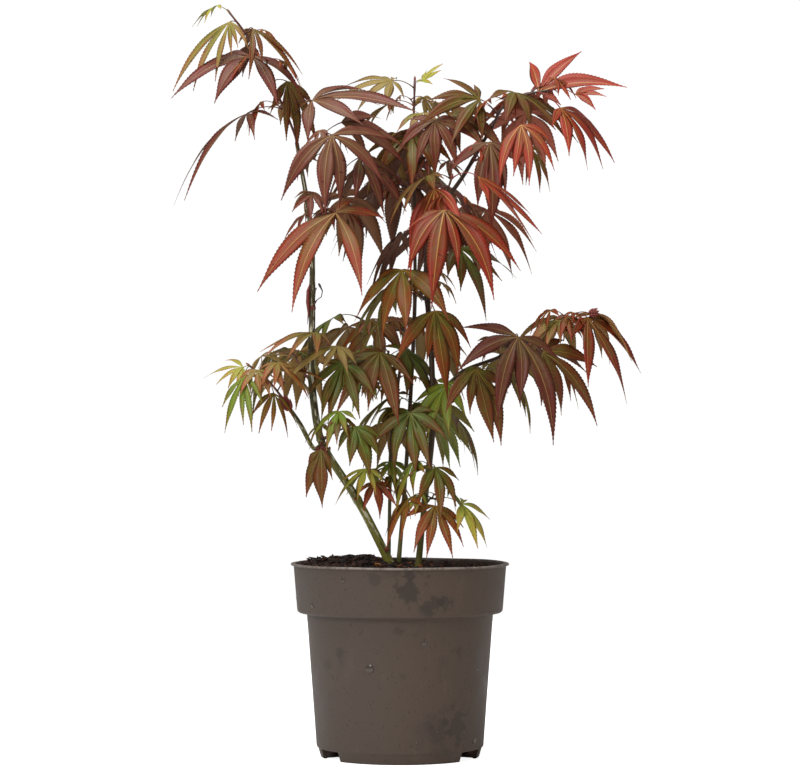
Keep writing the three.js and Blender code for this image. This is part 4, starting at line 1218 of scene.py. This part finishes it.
def grow_limbs():
    green = bark_finish("green_bark", "76732f", "464024", "e2dcc0", 0.27, 0.6, 0.42)
    brown = bark_finish("brown_bark", "6a6630", "3c2a1c", "8a7a5c", 0.245, 0.34, 0.48)
    barks = {"green_bark": green, "brown_bark": brown}
    buds = Shape()
    for i, name in enumerate(LIMBS):
        slot = "green_bark" if name in GREEN_LIMBS else "brown_bark"
        add_limb(name, slot, barks[slot], buds, seeded(500 + i))
    add_scars(buds)
    buds.piece("buds", twig_finishes(), "brown_bark")


# ---------------------------------------------------------------- pot
POT_HEIGHT = 168
WALL = 1.6
LIP_RADIUS, LIP_DEPTH = 95, 2.4
COLLAR_TOP, COLLAR_FOOT, COLLAR_HEIGHT = 92.4, 89, 125
NECK_RADIUS, BASE_RADIUS = 80.8, 72.6
FOOT_HEIGHT, FOOT_RADIUS, FOOT_TIP, FOOT_WIDTH = 9, 71, 68.6, 3.2
FEET, NOTCH_ANGLE = 3, 24
HALF_NOTCH = FOOT_RADIUS * math.sin(math.radians(NOTCH_ANGLE / 2))  # half its width
HOLES, HOLE_RADIUS, HOLE_CIRCLE = 6, 5, 50
POT_SIDES = 192


def pot_profile():
    """The wall's outline from under the base, up the outside, over the lip and down to the inner floor."""
    return rounded([
        (0, FOOT_HEIGHT, 0),
        (FOOT_TIP - FOOT_WIDTH, FOOT_HEIGHT, 1),
        (FOOT_TIP - FOOT_WIDTH, 0, 0.5),
        (FOOT_TIP, 0, 0.9),
        (FOOT_RADIUS, FOOT_HEIGHT - 0.9, 0.5),
        (BASE_RADIUS - 0.2, FOOT_HEIGHT + 0.2, 1.2),
        (NECK_RADIUS, COLLAR_HEIGHT - 0.6, 0.8),
        (COLLAR_FOOT, COLLAR_HEIGHT, 2.6),
        (COLLAR_TOP, POT_HEIGHT - LIP_DEPTH, 0.5),
        (LIP_RADIUS, POT_HEIGHT - LIP_DEPTH + 0.4, 0.8),
        (LIP_RADIUS - 0.1, POT_HEIGHT, 1.0),
        (COLLAR_TOP - WALL, POT_HEIGHT, 0.8),
        (COLLAR_FOOT - WALL, COLLAR_HEIGHT + 2.6, 1.5),
        (NECK_RADIUS - WALL + 0.4, COLLAR_HEIGHT + WALL, 1.0),
        (NECK_RADIUS - WALL, COLLAR_HEIGHT - WALL, 0),
        (BASE_RADIUS - WALL, FOOT_HEIGHT + WALL, 1.5),
        (0, FOOT_HEIGHT + WALL, 0),
    ])


def wavy_lip(rings):
    """The thin lip of such a pot is never quite true: it runs in and out by a fraction of a millimetre."""
    angle = np.arctan2(rings[..., 1], rings[..., 0])
    high = ease((rings[..., 2] - POT_HEIGHT + 6) / 6)
    wander = 0.35 * np.sin(3 * angle + 0.6) + 0.18 * np.sin(11 * angle)
    rings[..., 2] -= high * (0.3 + 0.3 * np.sin(5 * angle + 2) * np.sin(2 * angle))
    rings[..., :2] *= (1 - high * (0.35 + wander * 0.5) / LIP_RADIUS)[..., None]
    return rings


def notch_ways():
    """The directions out through each notch between the feet, and across it."""
    outward = [from_angle(TAU * i / FEET + TAU / 4) for i in range(FEET)]
    return [(out, np.cross(UP, out)) for out in outward]


def cutter_of():
    """The notches between the feet, and the drainage holes."""
    cutter = Shape()
    top = FOOT_HEIGHT - 0.5
    for out, across in notch_ways():
        corners = [(-HALF_NOTCH, -5), (HALF_NOTCH, -5), (HALF_NOTCH, top), (-HALF_NOTCH, top)]
        ring = np.array([across * x + UP * z for x, z in corners])
        cutter.skin(np.array([ring + out * (FOOT_RADIUS - 11), ring + out * (FOOT_RADIUS + 5)]))
    for i in range(HOLES):
        centre = HOLE_CIRCLE * from_angle(TAU * (i + 0.5) / HOLES) + UP * FOOT_HEIGHT
        cutter.skin(tube([centre - UP * 4, centre + UP * 4], HOLE_RADIUS, 24))
    return cutter


def make_pot():
    plastic = plastic_finish()
    shape = Shape()
    shape.skin(wavy_lip(turned(pot_profile(), POT_SIDES)))
    pot = shape.piece("pot_shell", [plastic], "pot_plastic", ["pot"])
    cutter = cutter_of().piece("pot_cutter", [plastic], "pot_plastic")
    cut = pot.modifiers.new("notches", "BOOLEAN")
    cut.object, cut.operation, cut.solver = cutter, "DIFFERENCE", "EXACT"
    bpy.context.view_layer.update()
    depsgraph = bpy.context.evaluated_depsgraph_get()
    mesh = bpy.data.meshes.new_from_object(pot.evaluated_get(depsgraph))
    pot.modifiers.clear()
    pot.data = mesh
    bpy.data.objects.remove(cutter)
    mesh.set_sharp_from_angle(angle=math.radians(40))
    return plastic


def wall_radius(height):
    """The pot's outer radius at a height, for what lies on it."""
    if height > COLLAR_HEIGHT:
        return np.interp(height, (COLLAR_HEIGHT, POT_HEIGHT), (COLLAR_FOOT, COLLAR_TOP))
    return np.interp(height, (FOOT_HEIGHT, COLLAR_HEIGHT), (BASE_RADIUS, NECK_RADIUS))


WALL_ACROSS, WALL_REACH = 1.6, 17  # of the walls across the feet's ends


def make_foot_walls(plastic):
    """The upright walls that close the two ends of each foot and stiffen it."""
    aside = HALF_NOTCH + 0.1
    outline = ((0, FOOT_HEIGHT), (0, 3), (2.4, 0.5), (WALL_REACH - 2, 0.5), (WALL_REACH, FOOT_HEIGHT))
    shape = Shape()
    for out, across in notch_ways():
        for start in (aside + WALL_ACROSS, -aside):
            side = np.array([out * (FOOT_TIP - WALL_REACH - 2 + x) + UP * z for x, z in outline])
            shape.skin(np.array([side + across * start, side + across * (start - WALL_ACROSS)]))
    shape.piece("pot_foot_walls", [plastic], "pot_plastic")


DROPLETS = 46
LEDGE_CLEARANCE = 5  # no drops this near the collar's foot
LARGE_DROPLETS = (
    (-109, 82, 3.6), (-75, 104, 2.6), (-121.5, 157, 1.9), (-30, 17, 2.4), (-8, 153, 1.6), (-146, 134, 2),
)  # turn, height, radius


def make_droplets():
    """Water left on the pot from watering, as flat beads."""
    shine = dict(Specular_IOR_Level=0.5, Coat_Weight=0.3)
    water = plain_finish("water_on_plastic", linear("443930"), 0.16, **shine)
    draw = seeded(77)
    places = list(LARGE_DROPLETS)
    for _ in range(DROPLETS):
        places.append((spread(draw, 0, 360), spread(draw, 14, 160), 0.4 + 1.1 * draw() ** 3))
    shape = Shape()
    for turn, height, radius in places:
        if abs(height - COLLAR_HEIGHT) < LEDGE_CLEARANCE:
            continue
        out = from_angle(math.radians(turn))
        foot = out * (wall_radius(height) - 0.35) + UP * height
        rise = np.array([0, 0.35, 0.42, 0.5, 0.56])[:, None] * radius * 0.8
        girth = radius * np.array([1.0, 0.97, 0.8, 0.5, 0.06])
        rings = tube(foot + out * rise, girth, 14)
        rings[..., 2] = height + (rings[..., 2] - height) * spread(draw, 1.0, 1.35)
        shape.skin(rings)
    shape.piece("water_droplets", [water], "pot_plastic")


# ---------------------------------------------------------------- compost
LEVEL = 161
MOUND, MOUND_AT, MOUND_REACH = 9, (-38, 20), 62
RIPPLE = 1.6
COMPOST_SIDES, COMPOST_RINGS = 150, 46
CHIPS, SHARDS, CLODS, PALE_BITS, FIBRES = 1500, 90, 110, 44, 160
RIM = 88.6  # radius of the compost's surface


def compost_height(x, y):
    away = np.hypot(x - MOUND_AT[0], y - MOUND_AT[1]) / MOUND_REACH
    rough = np.sin(x / 7.3 + 1.1) * np.sin(y / 8.9 - 0.4) + 0.6 * np.sin(x / 3.1 - y / 4.7)
    return LEVEL + MOUND * np.exp(-away * away) + RIPPLE * rough


def crumbled(x, y):
    """The surface with its crumbs, finer than the solid's."""
    crumb = noise.fractal(Vector((x / 6, y / 6, 0.3)), 0.6, 2.0, 4)
    return compost_height(x, y) + 1.3 * crumb


def make_compost():
    low = FOOT_HEIGHT + WALL + GAP
    profile = [
        (0, low),
        (BASE_RADIUS - WALL - 1, low),
        (NECK_RADIUS - WALL - 0.6, COLLAR_HEIGHT - WALL),
        (NECK_RADIUS - WALL - 0.6, COLLAR_HEIGHT + WALL + 0.4),
        (COLLAR_FOOT - WALL - 0.8, COLLAR_HEIGHT + 3.4),
        (RIM, LEVEL - 4),
    ]
    surface = [(RIM * (1 - (i / COMPOST_RINGS) ** 1.1), LEVEL) for i in range(COMPOST_RINGS + 1)]
    rings = turned(profile + surface, COMPOST_SIDES)
    for ring in rings[len(profile):]:
        for point in ring:
            point[2] = crumbled(point[0], point[1])
    shape = Shape()
    shape.skin(rings)
    shape.piece("compost_bed", [compost_finish()], "compost", ["compost"])


CHIP_COLOURS = ("1c100c", "26170f", "321c14", "41241a", "50281a", "21140f", "5e3620", "3a2018")
PALE_COLOURS = ("9a5f35", "b5793f", "7d4526")
SHARD_TINTS, CLOD_TINTS, FIBRE_TINTS = 6, 4, 5  # how many of the chips' colours they draw from
CHIP_SIDES, FIBRE_BENDS = 6, 6
SHARD_AREA, CLOD_AREA, PALE_AREA = ((-84, -8), (-40, 44)), ((-84, 60), (-60, 40)), ((-24, 34), (-44, 6))
SPLINTER = ((1, 2.6), (0.4, 0.9), (0.12, 0.4))  # length, width and thickness, of the size
CLOD = ((0.9, 1.5), (0.7, 1.1), (0.45, 0.8))  # the same


def chip(shape, centre, size, draw, tint, slant=0.7, kind=SPLINTER):
    """A splinter of bark or a clod of peat with torn ends, lying at a slant."""
    turn, tilt, roll = spread(draw, 0, TAU), spread(draw, -slant, slant), spread(draw, -0.8, 0.8)
    way = from_angle(turn) * math.cos(tilt) + UP * math.sin(tilt)
    flat = unit(np.cross(way, UP))
    flat, up = rolled(flat, np.cross(flat, way), roll)
    length, width, thick = (size * spread(draw, *limits) for limits in kind)
    angle = np.arange(CHIP_SIDES) * TAU / CHIP_SIDES
    rings = []
    for place, share in ((-0.5, 0.35), (-0.25, 0.9), (0.2, 1.0), (0.5, 0.3)):
        jag = np.array([spread(draw, 0.65, 1.25) for _ in angle])
        outline = -flat * (np.cos(angle) * jag * width * share / 2)[:, None]
        outline = outline + up * (np.sin(angle) * jag * thick * share / 2)[:, None]
        slip = way * np.array([spread(draw, -0.12, 0.12) for _ in angle])[:, None] * length
        rings.append(centre + way * place * length + outline + slip)
    shape.skin(np.array(rings), tint)


def fibre(shape, start, draw, tint):
    """A root fibre that wanders over the surface and ends at the compost's edge."""
    turn, length = spread(draw, 0, TAU), spread(draw, 7, 24)
    line = [start]
    for _ in range(FIBRE_BENDS):
        turn += spread(draw, -0.5, 0.5)
        line.append(line[-1] + (from_angle(turn) + UP * spread(draw, -0.35, 0.4)) * length / FIBRE_BENDS)
    line = np.array([p for p in line if math.hypot(p[0], p[1]) < RIM])
    if len(line) > 3:
        shape.skin(tube(line, np.linspace(0.32, 0.12, len(line)), 5), tint)


def on_disc(draw, reach):
    """A place drawn evenly from the disc within a reach of the axis."""
    radius, turn = reach * math.sqrt(draw()), spread(draw, 0, TAU)
    return radius * math.cos(turn), radius * math.sin(turn)


def in_area(draw, area):
    return [spread(draw, *side) for side in area]


def above(x, y, lift):
    return np.array([x, y, crumbled(x, y) + lift])


def make_chips():
    """The compost's crumbs, splinters, clods and fibres, and paler bits of bark near the stems' feet."""
    colours = enumerate(CHIP_COLOURS + PALE_COLOURS)
    finishes = [plain_finish(f"chip_{i}", linear(code), 0.8) for i, code in colours]
    dark, pale = len(CHIP_COLOURS), len(PALE_COLOURS)
    draw = seeded(31)
    shape = Shape()
    for _ in range(CHIPS):
        x, y = on_disc(draw, RIM - 2.5)
        size = spread(draw, 1.2, 3.2) + 3.2 * draw() ** 6
        place = above(x, y, size * spread(draw, -0.15, 0.35))
        chip(shape, place, size, draw, int(draw() * dark))
    for _ in range(SHARDS):
        x, y = in_area(draw, SHARD_AREA)
        place = above(x, y, spread(draw, -0.5, 3.2))
        if math.hypot(x, y) < RIM - 5:
            chip(shape, place, spread(draw, 3.2, 5.4), draw, int(draw() * SHARD_TINTS), 0.45)
    for _ in range(CLODS):
        x, y = in_area(draw, CLOD_AREA)
        if math.hypot(x, y) < RIM - 9:
            place = above(x, y, spread(draw, -0.5, 1.5))
            chip(shape, place, spread(draw, 4, 8), draw, int(draw() * CLOD_TINTS), 0.3, CLOD)
    for _ in range(PALE_BITS):
        place = above(*in_area(draw, PALE_AREA), 0.6)
        chip(shape, place, spread(draw, 2, 4.2), draw, dark + int(draw() * pale))
    for _ in range(FIBRES):
        fibre(shape, above(*on_disc(draw, RIM - 5), 0.6), draw, int(draw() * FIBRE_TINTS))
    shape.piece("compost_chips", finishes, "compost")


# ---------------------------------------------------------------- studio
CAMERA_HEIGHT, CAMERA_AWAY, CAMERA_LENS = 292, 2450, 127
CAMERA_RISE = 0.043  # how far the view's middle is above the camera, of the view's width
WORLD_LIGHT, WORLD_SEEN, FLOOR_GLOW = 0.28, 1.02, 0.95
LAMPS = {
    "overhead": ((-0.3, -0.4, 2.2), 1.7, 38),
    "key": ((-1.3, -2.2, 1.5), 1.2, 32),
    "fill": ((2.2, -1.6, 0.9), 1.5, 5),
}  # place in metres, size, power
LAMP_AIM = (0, 0, 0.33)  # metres
TABLE_REACH, TABLE_SIDES = 1.6, 96  # metres


def make_floor():
    """A round white table top that looks luminous, so that it runs into the white background."""
    ring = [TABLE_REACH * from_angle(TAU * i / TABLE_SIDES) for i in range(TABLE_SIDES)]
    mesh = bpy.data.meshes.new("studio_floor")
    mesh.from_pydata(ring, [], [range(TABLE_SIDES)])
    floor = bpy.data.objects.new("studio_floor", mesh)
    bpy.context.scene.collection.objects.link(floor)
    white = (0.9, 0.9, 0.9)
    finish = plain_finish("studio_floor", white, 0.9, Emission_Color=(*white, 1))
    tree = finish.node_tree
    ray = node(tree, "LightPath").outputs["Is Camera Ray"]
    link(tree, times(tree, ray, FLOOR_GLOW), tree.nodes["Principled BSDF"].inputs["Emission Strength"])
    mesh.materials.append(finish)


def softbox(name, place, size, power):
    light = bpy.data.lights.new(name, "AREA")
    light.shape, light.size, light.energy = "DISK", size, power
    lamp = bpy.data.objects.new(name, light)
    lamp.location = place
    aim = Vector(LAMP_AIM) - lamp.location
    lamp.rotation_euler = aim.to_track_quat("-Z", "Y").to_euler()
    bpy.context.scene.collection.objects.link(lamp)


def white_world():
    """White to the camera, and dimmer as a light."""
    world = bpy.data.worlds.new("white_studio")
    world.use_nodes = True
    tree = world.node_tree
    ray = node(tree, "LightPath").outputs["Is Camera Ray"]
    strength = plus(tree, WORLD_LIGHT, times(tree, ray, WORLD_SEEN - WORLD_LIGHT))
    link(tree, strength, tree.nodes["Background"].inputs["Strength"])
    tree.nodes["Background"].inputs["Color"].default_value = (1, 1, 1, 1)
    return world


def make_studio():
    scene = bpy.context.scene
    scene.view_settings.view_transform = "Standard"
    scene.world = white_world()
    for name, lamp in LAMPS.items():
        softbox(name, *lamp)
    camera = bpy.data.objects.new("camera", bpy.data.cameras.new("camera"))
    camera.data.lens = CAMERA_LENS
    camera.data.shift_y = CAMERA_RISE
    camera.location = AXIS + np.array([0, -CAMERA_AWAY, CAMERA_HEIGHT]) * MM
    camera.rotation_euler = (math.pi / 2, 0, 0)
    scene.collection.objects.link(camera)
    scene.camera = camera


# ---------------------------------------------------------------- assembly
make_studio()
make_floor()
make_foot_walls(make_pot())
make_droplets()
make_compost()
make_chips()
grow_limbs()
grow_foliage()
